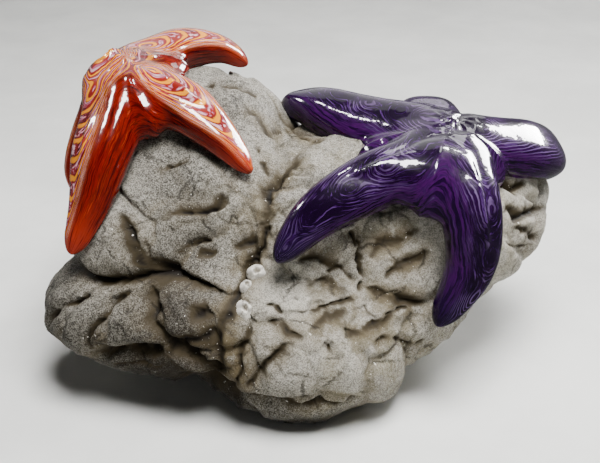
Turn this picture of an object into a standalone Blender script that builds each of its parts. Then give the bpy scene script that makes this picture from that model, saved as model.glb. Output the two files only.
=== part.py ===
"""Glass sea star sculpture: two hot-formed glass sea stars draped over a natural boulder.

The boulder is a blend of ellipsoid masses whose skin swells into blocks. Each star is a set of five arms
swept along routes over the boulder, blended into one another at the disc, and hollowed underneath by the
boulder it lies on. The violet star is parted into its disc and arms; the amber star stays in one piece.
Metres, +Z up. Sizes are laid out round the boulder's centre line, then moved by TO_ORIGIN, so that the
origin is on the floor under the middle of the whole sculpture.
"""

from dataclasses import dataclass

import bmesh
import bpy
import numpy as np
from mathutils import Matrix, Vector

MM = 0.001
TO_ORIGIN = (-5.8, 7.1, 0)

# Driving dimensions, in millimetres
ROCK_CENTRE = (0, 0, 85)
MASS_BLEND = 6
REACH = 260
BLOCK_SWELL = 9
BLOCK_SIZE = 30
SWELL_INSET = 1
ROCK_CUTS = 15
TOUCH_GAP = 0.35
PART_GAP = 0.5
BACK_BLOCK_SIZE = 1.1
BACK_BLOCKS = 46
BACK_BLOCK_SPACING = 44
GOLDEN_ANGLE = 2.39996

# Boulder masses: centre, radii
ROCK_MASSES = {
    "heart": ((20, 5, 85), (116, 76, 75)),
    "keel": ((0, 12, 42), (98, 62, 50)),
    "left_shoulder": ((-100, 28, 128), (48, 52, 60)),
    "crown": ((-55, 40, 132), (56, 52, 61)),
    "crown_back": ((-70, 62, 138), (40, 36, 56)),
    "amber_slope": ((-62, -8, 122), (46, 44, 40)),
    "right_shoulder": ((98, 5, 108), (68, 62, 54)),
    "right_back": ((132, 28, 119), (39, 44, 38)),
    "ridge": ((35, 33, 112), (68, 50, 47)),
    "cheek": ((-118, -38, 59), (55, 51, 41)),
    "left_flank": ((-102, -14, 101), (51, 55, 50)),
    "belly": ((-60, -50, 58), (66, 52, 46)),
    "chin": ((4, -60, 43), (74, 54, 50)),
    "right_flank": ((53, -24, 64), (68, 58, 50)),
}

# Blocks that swell from the front of the boulder: middle of the block, relative size
FRONT_BLOCKS = {
    "crown": (-45, 20, 193, 1.0),
    "crown_back": (-75, 60, 180, 1.0),
    "upper_slope": (-38, -6, 168, 1.05),
    "under_amber_star": (-85, -27, 158, 1.25),
    "left_middle": (-126, -58, 122, 1.0),
    "upper_fold": (-72, -46, 128, 0.95),
    "lower_fold": (-52, -64, 108, 0.9),
    "cheek_outer": (-163, -62, 84, 0.85),
    "cheek_middle": (-142, -80, 80, 0.85),
    "cheek_inner": (-112, -92, 80, 1.15),
    "middle": (-73, -94, 88, 1.05),
    "jowl_outer": (-108, -94, 40, 1.0),
    "jowl_inner": (-72, -104, 50, 0.8),
    "tongue_upper": (-42, -98, 86, 0.62),
    "tongue_lower": (-44, -108, 56, 0.62),
    "right_slope": (17, -5, 164, 1.3),
    "under_violet_arm": (14, -60, 126, 1.15),
    "barrel": (66, -62, 122, 1.25),
    "wrinkle_left": (-8, -84, 96, 0.85),
    "wrinkle_right": (30, -88, 92, 0.95),
    "chin": (10, -112, 60, 1.5),
    "under_chin": (2, -106, 14, 1.1),
    "low_right_upper": (60, -96, 74, 0.95),
    "low_right_lower": (62, -100, 46, 1.0),
    "right_top": (154, -16, 146, 0.9),
    "right_upper": (150, -38, 122, 0.8),
    "right_middle": (138, -50, 98, 0.95),
    "right_lower": (116, -62, 70, 1.0),
    "right_foot": (88, -84, 52, 0.9),
}


@dataclass
class StarSizes:
    """One star. Arm sections are half widths and half heights at even stations from disc to tip.

    Each web is named by the two arms it joins, with its reach from the disc and its half thickness.
    """

    disc: tuple
    hub: tuple
    routes: dict
    half_width: tuple
    half_height: tuple
    squareness: float
    webs: dict
    girth: dict
    free_from: dict


VIOLET = StarSizes(
    disc=(101, -8, 166),
    hub=(23, 23, 15.5),
    routes={
        "arm_left_back": [(72, 8, 165), (38, 26, 168), (8, 43, 174), (-14, 53, 171)],
        "arm_left_front": [(74, -34, 162), (44, -51, 157), (10, -68, 142), (-16, -82, 116)],
        "arm_front": [(105, -38, 160), (109, -64, 141), (109, -73, 107), (88, -87, 71)],
        "arm_right": [(130, -8, 164), (158, 2, 158), (176, 28, 142), (165, 58, 114)],
        "arm_back": [(97, 15, 165), (93, 44, 167), (88, 70, 151), (82, 88, 110)],
    },
    half_width=(17, 19.5, 19, 15, 7),
    half_height=(14, 14.5, 13.5, 11.5, 6.5),
    squareness=2.3,
    webs={
        ("arm_left_back", "arm_left_front"): (70, 12),
        ("arm_left_front", "arm_front"): (68, 15),
        ("arm_front", "arm_right"): (58, 15),
        ("arm_right", "arm_back"): (34, 12),
        ("arm_back", "arm_left_back"): (48, 12),
    },
    girth={"arm_left_back": 1.25, "arm_right": 1.1},
    free_from={
        "arm_left_back": 0.67,
        "arm_left_front": 0.57,
        "arm_front": 0.58,
        "arm_right": 0.56,
        "arm_back": 0.48,
    },
)

AMBER = StarSizes(
    disc=(-127, 30, 198),
    hub=(19, 19, 15),
    routes={
        "arm_front": [(-125, 2, 186), (-131, -27, 165), (-138, -47, 138), (-150, -62, 110)],
        "arm_right": [(-104, 8, 192), (-77, -10, 186), (-53, -24, 174), (-32, -36, 159)],
        "arm_back_right": [(-110, 54, 201), (-84, 69, 209), (-58, 77, 206), (-38, 76, 194)],
        "arm_back": [(-131, 60, 190), (-129, 82, 170), (-126, 94, 142), (-122, 96, 118)],
        "arm_left": [(-137, 36, 181), (-151, 32, 157), (-160, 24, 133), (-157, 16, 114)],
    },
    half_width=(17, 19, 19, 15, 6.5),
    half_height=(13, 13.5, 12.5, 10.5, 6),
    squareness=2.5,
    webs={
        ("arm_front", "arm_right"): (72, 15),
        ("arm_right", "arm_back_right"): (68, 12),
        ("arm_back_right", "arm_back"): (40, 11),
        ("arm_back", "arm_left"): (32, 10),
        ("arm_left", "arm_front"): (40, 10.5),
    },
    girth={"arm_front": 1.15},
    free_from={},
)
ROUTE_POINTS = 61
TIP_ROUNDING = 0.90
ROOT_RINGS = 5
ARM_RINGS = 6
RING_SIDES = 12
TIP_RINGS = 4
WEB_RINGS = 5
WEB_START = 0.15
WEB_ARCH = 0.12
WEB_OVERLAP = 0.08
WEB_DROP = 4
HUB_RINGS = 8
WELD = 0.00002


def smooth_step(x):
    """Cubic ease from 0 to 1."""
    x = np.clip(x, 0, 1)
    return x * x * (3 - 2 * x)


def unit(vectors):
    """Vectors scaled to length 1."""
    return vectors / np.maximum(np.linalg.norm(vectors, axis=-1, keepdims=True), 1e-12)


def ellipsoid_field(points, centre, radii):
    """Distance to an ellipsoid, negative inside."""
    radii = np.array(radii) * MM
    scaled = (points - np.array(centre) * MM) / radii
    reach = np.linalg.norm(scaled, axis=-1)
    return reach * (reach - 1) / (np.linalg.norm(scaled / radii, axis=-1) + 1e-9)


def soft_union(fields, blend):
    """Least of several distances, rounded where two of them meet."""
    fields = np.stack(fields)
    least = fields.min(0)
    return least - blend * np.log(np.exp(-(fields - least) / blend).sum(0))


def halve_out(field, starts, directions, reach, steps=20):
    """Distance along each direction at which the field turns positive, where it does so once."""
    low = np.zeros(len(starts))
    high = np.full(len(starts), reach)
    for _ in range(steps):
        middle = (low + high) / 2
        inside = field(starts + directions * middle[:, None]) < 0
        low = np.where(inside, middle, low)
        high = np.where(inside, high, middle)
    return (low + high) / 2


def catmull_rom(knots, count):
    """Smooth curve through the knots, resampled evenly, with its length."""
    knots = np.array(knots, float)
    knots = np.vstack([2 * knots[0] - knots[1], knots, 2 * knots[-1] - knots[-2]])
    along = np.linspace(0, len(knots) - 3 - 1e-9, 400)
    span = along.astype(int)
    u = (along - span)[:, None]
    a, b, c, d = (knots[span + k] for k in range(4))
    curve = 0.5 * (2 * b + (c - a) * u + (2 * a - 5 * b + 4 * c - d) * u**2 + (3 * b - a - 3 * c + d) * u**3)
    travel = np.r_[0, np.cumsum(np.linalg.norm(np.diff(curve, axis=0), axis=1))]
    even = np.linspace(0, travel[-1], count)
    columns = [np.interp(even, travel, curve[:, k]) for k in range(curve.shape[1])]
    return np.stack(columns, 1), travel[-1]


class Boulder:
    """The stone: blended masses, with a block swelling round each seed point."""

    def __init__(self):
        self.centre = np.array(ROCK_CENTRE) * MM
        self.blocks = np.array(list(FRONT_BLOCKS.values()) + self.back_blocks(), float)

    def core(self, points):
        masses = [ellipsoid_field(points, centre, radii) for centre, radii in ROCK_MASSES.values()]
        return soft_union(masses, MASS_BLEND * MM)

    def core_radius(self, directions):
        starts = np.repeat(self.centre[None], len(directions), 0)
        return halve_out(self.core, starts, directions, REACH * MM)

    def back_blocks(self):
        """Blocks on a spiral over the whole stone, where no front block is near."""
        front = np.array([block[:3] for block in FRONT_BLOCKS.values()]) * MM
        blocks = []
        for turn in range(BACK_BLOCKS):
            height = 1 - 2 * (turn + 0.5) / BACK_BLOCKS
            level = np.sqrt(1 - height**2)
            angle = turn * GOLDEN_ANGLE
            direction = np.array([[level * np.cos(angle), level * np.sin(angle), height]])
            seed = self.centre + direction[0] * self.core_radius(direction)[0]
            if np.linalg.norm(front - seed, axis=1).min() > BACK_BLOCK_SPACING * MM:
                blocks.append((*seed / MM, BACK_BLOCK_SIZE))
        return blocks

    def radius(self, directions):
        """Distance from the centre to the skin: the core, plus a swelling that fades towards each seam."""
        core = self.core_radius(directions)
        points = self.centre + directions * core[:, None]
        offsets = points[:, None, :] - self.blocks[None, :, :3] * MM
        nearness = np.linalg.norm(offsets, axis=-1) / (self.blocks[:, 3] * BLOCK_SIZE * MM)
        nearest = np.sort(nearness, axis=1)[:, :2]
        from_seam = nearest[:, 1] - nearest[:, 0]
        return core + BLOCK_SWELL * MM * (1 - np.exp(-2.2 * from_seam)) - SWELL_INSET * MM

    def outward(self, points, step=1 * MM):
        """Direction straight out of the core at each point."""
        axes = np.eye(3) * step
        slope = np.stack([self.core(points + a) - self.core(points - a) for a in axes], 1)
        return unit(slope)


class Arm:
    """One arm: a tapering rounded-square section carried along its route over the boulder."""

    def __init__(self, sizes, name, up, boulder):
        knots = [np.array(p) * MM for p in [sizes.disc, *sizes.routes[name]]]
        self.route, self.length = catmull_rom(knots, ROUTE_POINTS)
        self.along = unit(np.gradient(self.route, axis=0))
        share = np.linspace(0, 1, ROUTE_POINTS)
        out = boulder.outward(self.route)
        for _ in range(12):
            out[1:-1] = (out[:-2] + 2 * out[1:-1] + out[2:]) / 4
        mix = smooth_step(share / 0.3)[:, None]
        out = up * (1 - mix) + out * mix
        self.out = unit(out - (out * self.along).sum(1, keepdims=True) * self.along)
        self.side = np.cross(self.out, self.along)
        girth = sizes.girth.get(name, 1.0)
        self.width = self.taper(share, sizes.half_width) * girth
        self.height = self.taper(share, sizes.half_height) * girth
        self.squareness = sizes.squareness

    @staticmethod
    def taper(share, stations):
        spread = np.linspace(0, 1, len(stations))
        curve, _ = catmull_rom(np.stack([spread, stations], 1), 200)
        return np.interp(share, curve[:, 0], curve[:, 1]) * MM

    def at(self, place, values):
        """Values read at fractional places along the route."""
        low = np.minimum(np.asarray(place).astype(int), ROUTE_POINTS - 2)
        mix = place - low
        mix = mix[:, None] if values.ndim > 1 else mix
        return values[low] * (1 - mix) + values[low + 1] * mix

    def rings(self, shares):
        """Rounded-square rings at these shares of the arm's length, closing in an ellipse at the tip."""
        turn = np.arange(RING_SIDES) / RING_SIDES * 2 * np.pi
        across, lift = np.cos(turn), np.sin(turn)
        place = shares * (ROUTE_POINTS - 1)
        side, out = (unit(self.at(place, axis))[:, None] for axis in (self.side, self.out))
        rounding = np.sqrt(1 - np.clip((shares - TIP_ROUNDING) / (1 - TIP_ROUNDING), 0, 1) ** 2)
        power = 2 / self.squareness
        across = np.sign(across) * np.abs(across) ** power * (self.at(place, self.width) * rounding)[:, None]
        lift = np.sign(lift) * np.abs(lift) ** power * (self.at(place, self.height) * rounding)[:, None]
        return self.at(place, self.route)[:, None] + across[..., None] * side + lift[..., None] * out


def add_tube(bm, rings):
    """A closed skin of quads between rings of points, with a fan of triangles over each end."""
    rows = [[bm.verts.new(point) for point in ring] for ring in rings]
    for row, following in zip(rows, rows[1:]):
        for j in range(len(row)):
            after = (j + 1) % len(row)
            bm.faces.new((row[j], following[j], following[after], row[after]))
    ends = [bm.faces.new(rows[0]), bm.faces.new(rows[-1][::-1])]
    bmesh.ops.poke(bm, faces=ends)


def add_ellipsoid(bm, centre, radii):
    """A closed ellipsoid, level with the floor."""
    placing = Matrix.Translation(Vector(centre) * MM) @ Matrix.Diagonal((*(Vector(radii) * MM), 1))
    bmesh.ops.create_uvsphere(bm, u_segments=RING_SIDES, v_segments=HUB_RINGS, radius=1, matrix=placing)


def finish(bm, name, material):
    """Close coincident points, face the skin outward and make the object."""
    bmesh.ops.remove_doubles(bm, verts=bm.verts, dist=WELD)
    bmesh.ops.recalc_face_normals(bm, faces=bm.faces)
    mesh = bpy.data.meshes.new(name)
    bmesh.ops.translate(bm, verts=bm.verts, vec=Vector(TO_ORIGIN) * MM)
    bm.to_mesh(mesh)
    bm.free()
    mesh.shade_smooth()
    obj = bpy.data.objects.new(name, mesh)
    bpy.context.collection.objects.link(obj)
    if material is not None:
        mesh.materials.append(material)
    return obj


def make_material(name, colour, roughness, coat):
    material = bpy.data.materials.new(name)
    material.use_nodes = True
    shader = material.node_tree.nodes["Principled BSDF"]
    shader.inputs["Base Color"].default_value = (*colour, 1)
    shader.inputs["Roughness"].default_value = roughness
    shader.inputs["Coat Weight"].default_value = coat
    return material


def make_boulder(boulder, name, material, swell=0.0):
    """The stone, cut off flat at the floor. A swell makes the cutter that hollows the stars."""
    bm = bmesh.new()
    bmesh.ops.create_cube(bm, size=2)
    bmesh.ops.subdivide_edges(bm, edges=bm.edges, cuts=ROCK_CUTS, use_grid_fill=True)
    bmesh.ops.triangulate(bm, faces=bm.faces, quad_method="FIXED")
    corners = np.array([vert.co for vert in bm.verts])
    directions = unit(np.tan(corners * np.pi / 4))
    radius = boulder.radius(directions) + swell
    falling = np.minimum(directions[:, 2], -1e-9)
    radius = np.minimum(radius, (boulder.centre[2] + swell) / -falling)
    for vert, direction, reach in zip(bm.verts, directions, radius):
        vert.co = boulder.centre + direction * reach
    foot = [edge for edge in bm.edges if all(vert.co.z < WELD for vert in edge.verts)]
    bmesh.ops.dissolve_limit(bm, angle_limit=0.001, verts=[], edges=foot)
    return finish(bm, name, material)


def hollow(obj, cutter):
    """Take away all of the glass that the boulder fills."""
    modifier = obj.modifiers.new("rest_on_boulder", "BOOLEAN")
    modifier.operation = "DIFFERENCE"
    modifier.solver = "EXACT"
    modifier.use_self = True
    modifier.object = cutter


def tip_shares(first):
    """Shares from the first to the tip: even along the arm, then rounding off."""
    rounding = np.sin(np.linspace(0, 1, TIP_RINGS + 1)[1:] * np.pi / 2)
    return np.r_[np.linspace(first, TIP_ROUNDING, ARM_RINGS), TIP_ROUNDING + (1 - TIP_ROUNDING) * rounding]


def web_rings(first, second, reach, thickness):
    """Rings of a web from the middle of one arm to the middle of the next, arched in at its free edge."""
    turn = np.arange(RING_SIDES) / RING_SIDES * 2 * np.pi
    rings = []
    for share in np.linspace(-WEB_OVERLAP, 1 + WEB_OVERLAP, WEB_RINGS):
        edge = reach * MM * (1 + WEB_ARCH * (2 * share - 1) ** 2)
        travel = edge * (WEB_START + (1 - WEB_START) * (1 + np.cos(turn)) / 2)
        places = [(arm, travel / arm.length * (ROUTE_POINTS - 1), mix) for arm, mix in
                  ((first, 1 - share), (second, share))]
        middle = sum(arm.at(place, arm.route) * mix for arm, place, mix in places)
        out = unit(sum(arm.at(place, arm.out) * mix for arm, place, mix in places))
        rings.append(middle + out * (np.sin(turn)[:, None] * thickness - WEB_DROP) * MM)
    return rings


def make_star(sizes, boulder, prefix, material, cutter):
    """A star: its disc, webs and arm roots in one piece. Arms listed in free_from are parted by a thin gap."""
    up = boulder.outward(np.array([sizes.disc]) * MM)[0]
    bm = bmesh.new()
    add_ellipsoid(bm, sizes.disc, sizes.hub)
    arms = {name: Arm(sizes, name, up, boulder) for name in sizes.routes}
    for (first, second), (reach, thickness) in sizes.webs.items():
        add_tube(bm, web_rings(arms[first], arms[second], reach, thickness))
    for name, arm in arms.items():
        if name not in sizes.free_from:
            add_tube(bm, arm.rings(tip_shares(0.0)))
            continue
        root = sizes.free_from[name]
        add_tube(bm, arm.rings(np.linspace(0, root, ROOT_RINGS + 1)))
        free = bmesh.new()
        add_tube(free, arm.rings(tip_shares(root + PART_GAP * MM / arm.length)))
        hollow(finish(free, f"{prefix}_{name}", material), cutter)
    whole = prefix if not sizes.free_from else f"{prefix}_disc"
    hollow(finish(bm, whole, material), cutter)


def main():
    for obj in list(bpy.data.objects):
        bpy.data.objects.remove(obj, do_unlink=True)
    stone = make_material("stone", (0.33, 0.31, 0.28), 0.85, 0.0)
    violet_glass = make_material("violet_glass", (0.09, 0.03, 0.22), 0.08, 1.0)
    amber_glass = make_material("amber_glass", (0.62, 0.13, 0.03), 0.08, 1.0)
    boulder = Boulder()
    make_boulder(boulder, "boulder", stone)
    cutter = make_boulder(boulder, "boulder_cutter", None, TOUCH_GAP * MM)
    cutter.hide_render = True
    cutter.display_type = "WIRE"
    make_star(VIOLET, boulder, "violet_star", violet_glass, cutter)
    make_star(AMBER, boulder, "amber_star", amber_glass, cutter)


main()
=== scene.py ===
"""Glass sea star sculpture: a violet and an amber glass sea star draped over a natural boulder.

The boulder's skin is a star-shaped surface: blended ellipsoid masses that swell into blocks, cut by named
grooves and roughened by noise. Each glass skin is a union of tubes and webs, melted together and settled on
the boulder, and carries where it lies on its arm, so that the combed threads of colour can follow the arm.
"""

import logging
from dataclasses import dataclass, field
from enum import Enum
from functools import reduce
from typing import Any, Sequence

import bpy
import numpy as np
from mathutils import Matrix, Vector


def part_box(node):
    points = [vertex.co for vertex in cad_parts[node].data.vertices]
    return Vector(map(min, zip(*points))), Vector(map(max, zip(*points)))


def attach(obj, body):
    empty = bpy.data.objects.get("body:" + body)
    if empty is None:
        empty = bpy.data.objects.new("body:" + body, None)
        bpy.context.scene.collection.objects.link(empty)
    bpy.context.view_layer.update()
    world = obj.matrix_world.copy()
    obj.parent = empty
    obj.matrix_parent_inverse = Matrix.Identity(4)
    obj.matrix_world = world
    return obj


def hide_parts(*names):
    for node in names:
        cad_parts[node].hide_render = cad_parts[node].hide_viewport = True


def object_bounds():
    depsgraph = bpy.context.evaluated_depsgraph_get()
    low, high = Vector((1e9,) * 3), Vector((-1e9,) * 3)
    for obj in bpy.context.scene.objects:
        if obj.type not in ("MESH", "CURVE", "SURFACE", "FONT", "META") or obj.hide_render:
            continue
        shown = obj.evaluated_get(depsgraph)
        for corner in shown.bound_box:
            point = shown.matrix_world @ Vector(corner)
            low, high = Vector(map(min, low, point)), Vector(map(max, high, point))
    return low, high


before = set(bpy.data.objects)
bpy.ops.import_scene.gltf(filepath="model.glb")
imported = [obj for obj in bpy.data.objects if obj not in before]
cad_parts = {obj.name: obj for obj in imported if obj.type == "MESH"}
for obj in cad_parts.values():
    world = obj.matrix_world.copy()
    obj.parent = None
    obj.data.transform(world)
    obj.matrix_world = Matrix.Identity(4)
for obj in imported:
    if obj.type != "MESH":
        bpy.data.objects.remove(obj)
CAD_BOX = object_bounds()

Array = np.ndarray
Point = tuple[float, float, float]
MM = 0.001
TO_ORIGIN = np.array((-5.8, 7.1, 0.0)) * MM
GOLDEN_ANGLE = 2.39996
FULL_TURN = 6.28319
BODY = "root"
log = logging.getLogger("sea_star_sculpture")


# ---------------------------------------------------------------- number work


def smooth_step(x: Array) -> Array:
    """Cubic ease from 0 to 1: 3x squared less 2x cubed, held between 0 and 1."""
    x = np.clip(x, 0, 1)
    return x * x * (3 - 2 * x)


def unit(vectors: Array) -> Array:
    """Each vector divided by its own length."""
    return vectors / np.maximum(np.linalg.norm(vectors, axis=-1, keepdims=True), 1e-12)


def ellipsoid_field(points: Array, centre: Sequence[float], radii: Sequence[float]) -> Array:
    """Nearly the distance to an ellipsoid: k(k-1)/g, for scaled length k and its slope g.

    Args:
        points: Places in metres, one a row.
        centre: The ellipsoid's centre in millimetres.
        radii: Its three radii in millimetres.

    Returns:
        The distance in metres, negative inside.
    """
    sizes = np.array(radii) * MM
    scaled = (points - np.array(centre) * MM) / sizes
    reach = np.linalg.norm(scaled, axis=-1)
    return reach * (reach - 1) / (np.linalg.norm(scaled / sizes, axis=-1) + 1e-9)


def soft_union(fields: Sequence[Array], blend: float) -> Array:
    """Least of several distances, rounded by -b log(sum exp(-d/b)) where two of them meet.

    Args:
        fields: Distances to each shape.
        blend: Width b of the rounding, in metres.

    Returns:
        The distance to the blended shape.
    """
    stack = np.stack(fields)
    least = stack.min(0)
    return least - blend * np.log(np.exp(-(stack - least) / blend).sum(0))


def lattice_value(cell: Array, seed: int) -> Array:
    """A fixed pseudo-random number for each cell: its axes times large whole numbers, with the bits mixed.

    Args:
        cell: Whole-number places, one a row.
        seed: Which pattern.

    Returns:
        Numbers from 0 to 1.
    """
    mixed = cell[..., 0] * 374761393 + cell[..., 1] * 668265263 + cell[..., 2] * 2147483647
    mixed = (mixed + seed * 974634777) & 0xFFFFFFFF
    for shift, factor in ((13, 1274126177), (16, 2246822519)):
        mixed = ((mixed ^ (mixed >> shift)) * factor) & 0xFFFFFFFF
    return ((mixed ^ (mixed >> 15)) & 0xFFFFFF) / float(0xFFFFFF)


def value_noise(points: Array, size: float, seed: int) -> Array:
    """Lattice values blended by a quintic ease between the eight corners of each cell.

    Args:
        points: Places in metres.
        size: Cell size in metres.
        seed: Which pattern.

    Returns:
        Noise from -1 to 1.
    """
    scaled = points / size
    cell = np.floor(scaled).astype(np.int64)
    part = scaled - cell
    part = part**3 * (part * (part * 6 - 15) + 10)
    total = np.zeros(points.shape[:-1])
    for corner in np.ndindex(2, 2, 2):
        weight = np.prod(np.where(np.array(corner) == 1, part, 1 - part), axis=-1)
        total += weight * lattice_value(cell + np.array(corner), seed)
    return total * 2 - 1


def fractal_noise(points: Array, size: float, octaves: int, seed: int, gain: float = 0.5) -> Array:
    """Sum of value noises, each half the size and `gain` times the strength of the one before."""
    layers = (gain**k * value_noise(points, size / 2**k, seed + k) for k in range(octaves))
    return sum(layers)


def warp(points: Array, size: float, strength: float, seed: int) -> Array:
    """Points moved about by three fractal noises, one for each axis, times the strength."""
    shift = [fractal_noise(points, size, 2, seed + 4 * axis) for axis in range(3)]
    return points + np.stack(shift, -1) * strength


def wavered(points: Array, wavers: Sequence[Point]) -> Array:
    """Points warped by one waver after another.

    Args:
        points: Places in metres.
        wavers: Each one's size and strength in millimetres, and its seed.

    Returns:
        The warped points.
    """
    for size, strength, seed in wavers:
        points = warp(points, size * MM, strength * MM, seed)
    return points


def cell_seams(points: Array, size: float, seed: int) -> Array:
    """How far each point is from the seam between its two nearest scattered seeds, in cells.

    Args:
        points: Places in metres.
        size: Spacing of the seeds in metres.
        seed: Which scatter.

    Returns:
        The second nearest distance less the nearest: 0 on a seam.
    """
    scaled = points / size
    home = np.floor(scaled).astype(np.int64)
    first = np.full(len(points), 9.0)
    second = np.full(len(points), 9.0)
    for step in np.ndindex(3, 3, 3):
        cell = home + np.array(step) - 1
        jitter = np.stack([lattice_value(cell, seed + k) for k in (11, 23, 37)], -1)
        distance = np.linalg.norm(cell + jitter - scaled, axis=-1)
        second = np.minimum(second, np.maximum(first, distance))
        first = np.minimum(first, distance)
    return second - first


def curve_through(knots: Array, count: int) -> tuple[Array, float]:
    """Catmull-Rom curve through the knots, resampled at even steps along its length.

    Args:
        knots: Points in any number of dimensions, one a row.
        count: How many samples.

    Returns:
        The samples, and the curve's length.
    """
    knots = np.asarray(knots, float)
    knots = np.vstack([2 * knots[0] - knots[1], knots, 2 * knots[-1] - knots[-2]])
    along = np.linspace(0, len(knots) - 3 - 1e-9, 400)
    span = along.astype(int)
    u = (along - span)[:, None]
    a, b, c, d = (knots[span + k] for k in range(4))
    curve = 0.5 * (2 * b + (c - a) * u + (2 * a - 5 * b + 4 * c - d) * u**2 + (3 * b - a - 3 * c + d) * u**3)
    travel = np.r_[0, np.cumsum(np.linalg.norm(np.diff(curve, axis=0), axis=1))]
    even = np.linspace(0, travel[-1], count)
    return np.stack([np.interp(even, travel, column) for column in curve.T], 1), float(travel[-1])


def nearest_on_path(points: Array, path: Array) -> tuple[Array, Array]:
    """The nearest place on a broken line to each point.

    Args:
        points: Places in metres.
        path: The line's corners.

    Returns:
        The place as a fractional corner number, and the squared distance to it.
    """
    best = np.full(len(points), np.inf)
    place = np.zeros(len(points))
    for k, (start, end) in enumerate(zip(path, path[1:])):
        step = end - start
        share = np.clip((points - start) @ step / (step @ step), 0, 1)
        distance = ((points - start - share[:, None] * step) ** 2).sum(1)
        place = np.where(distance < best, k + share, place)
        best = np.minimum(best, distance)
    return place, best


def box_near(points: Array, path: Array, margin: float) -> Array:
    """Which points lie within a margin of the box round a path."""
    return np.all((points > path.min(0) - margin) & (points < path.max(0) + margin), axis=1)


# ---------------------------------------------------------------- meshes


def grid_quads(rows: int, columns: int) -> Array:
    """The quads of a grid that closes round its columns.

    Args:
        rows: How many rows.
        columns: How many columns.

    Returns:
        Corner numbers, one quad a row.
    """
    i, j = np.meshgrid(np.arange(rows - 1), np.arange(columns), indexing="ij")
    after = (j + 1) % columns
    corners = [i * columns + j, (i + 1) * columns + j, (i + 1) * columns + after, i * columns + after]
    return np.stack(corners, -1).reshape(-1, 4)


def closed_tube(rings: Array) -> tuple[Array, list]:
    """A skin over rings of points, with a fan of triangles over each end.

    Args:
        rings: Points, as ring by place on the ring by axis.

    Returns:
        Vertices and faces.
    """
    rows, columns = rings.shape[:2]
    ends = np.stack([rings[0].mean(0), rings[-1].mean(0)])
    vertices = np.vstack([rings.reshape(-1, 3), ends])
    ring = np.arange(columns)
    after = (ring + 1) % columns
    base, last = rows * columns, (rows - 1) * columns
    first_fan = np.stack([np.full(columns, base), ring, after], -1)
    last_fan = np.stack([np.full(columns, base + 1), last + after, last + ring], -1)
    return vertices, grid_quads(rows, columns).tolist() + first_fan.tolist() + last_fan.tolist()


def join_tubes(tubes: Sequence[Array]) -> tuple[Array, list]:
    """Closed tubes over several stacks of rings, as one mesh.

    Args:
        tubes: Each stack's points, as ring by place on the ring by axis.

    Returns:
        Vertices and faces.
    """
    vertices, faces, start = [], [], 0
    for rings in tubes:
        points, skin = closed_tube(rings)
        vertices.append(points)
        faces += [[corner + start for corner in face] for face in skin]
        start += len(points)
    return np.vstack(vertices), faces


def cube_sphere(count: int, stretch: Point, lean: Point) -> tuple[Array, Array]:
    """Directions over an oblong body, from a cube's lattice pushed out to an ellipsoid and moved by `lean`.

    Args:
        count: Steps along each edge of the cube.
        stretch: The body's rough half sizes, in any unit.
        lean: The move, in the same unit: directions are closer together on the side that it leans to.

    Returns:
        Unit directions, and quads that face outwards.
    """
    steps = np.arange(count + 1)
    a, b = np.meshgrid(steps, steps, indexing="ij")
    numbers = np.arange(a.size).reshape(a.shape)
    places, quads = [], []
    for axis, side in np.ndindex(3, 2):
        place = np.empty((*a.shape, 3), int)
        place[..., axis], place[..., (axis + 1) % 3], place[..., (axis + 2) % 3] = side * count, a, b
        corners = [numbers[:-1, :-1], numbers[1:, :-1], numbers[1:, 1:], numbers[:-1, 1:]]
        quad = np.stack(corners, -1).reshape(-1, 4) + len(places) * a.size
        places.append(place.reshape(-1, 3))
        quads.append(quad if side else quad[:, ::-1])
    keys = np.vstack(places) @ np.array([1, count + 1, (count + 1) ** 2])
    _, first, merged = np.unique(keys, return_index=True, return_inverse=True)
    cube = np.vstack(places)[first] / count * 2 - 1
    return unit(unit(np.tan(cube * np.pi / 4)) * np.array(stretch) + np.array(lean)), merged[np.vstack(quads)]


def face_slopes(points: Array, quads: Array) -> Array:
    """Normals of vertices: the cross products of each quad's diagonals, summed where quads meet.

    Args:
        points: The vertices.
        quads: The faces' corner numbers.

    Returns:
        A unit normal for each vertex.
    """
    crosses = np.cross(points[quads[:, 2]] - points[quads[:, 0]], points[quads[:, 3]] - points[quads[:, 1]])
    total = np.zeros_like(points)
    for corner in quads.T:
        for axis in range(3):
            total[:, axis] += np.bincount(corner, crosses[:, axis], len(points))
    return unit(total)


def make_object(
    name: str,
    vertices: Array,
    faces: Sequence,
    material: bpy.types.Material | None = None,
    attributes: dict[str, Array] | None = None,
) -> bpy.types.Object:
    """A smooth-shaded mesh object with its place in its mesh.

    Args:
        name: The piece's name.
        vertices: Places in metres.
        faces: Corner numbers of each face.
        material: Its look, if it has one.
        attributes: One number for each vertex, under names that materials can read.

    Returns:
        The object, linked into the scene.
    """
    mesh = bpy.data.meshes.new(name)
    mesh.from_pydata(vertices.tolist(), [], faces.tolist() if isinstance(faces, np.ndarray) else faces)
    mesh.validate()
    mesh.shade_smooth()
    for title, values in (attributes or {}).items():
        layer = mesh.attributes.new(title, "FLOAT", "POINT")
        layer.data.foreach_set("value", values.astype(np.float32))
    if material:
        mesh.materials.append(material)
    obj = bpy.data.objects.new(name, mesh)
    bpy.context.collection.objects.link(obj)
    return obj


def read_vertices(mesh: bpy.types.Mesh) -> Array:
    """Where a mesh's vertices are.

    Args:
        mesh: The mesh.

    Returns:
        Rows of x, y and z.
    """
    flat = np.empty(len(mesh.vertices) * 3)
    mesh.vertices.foreach_get("co", flat)
    return flat.reshape(-1, 3)


# ---------------------------------------------------------------- materials


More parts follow.
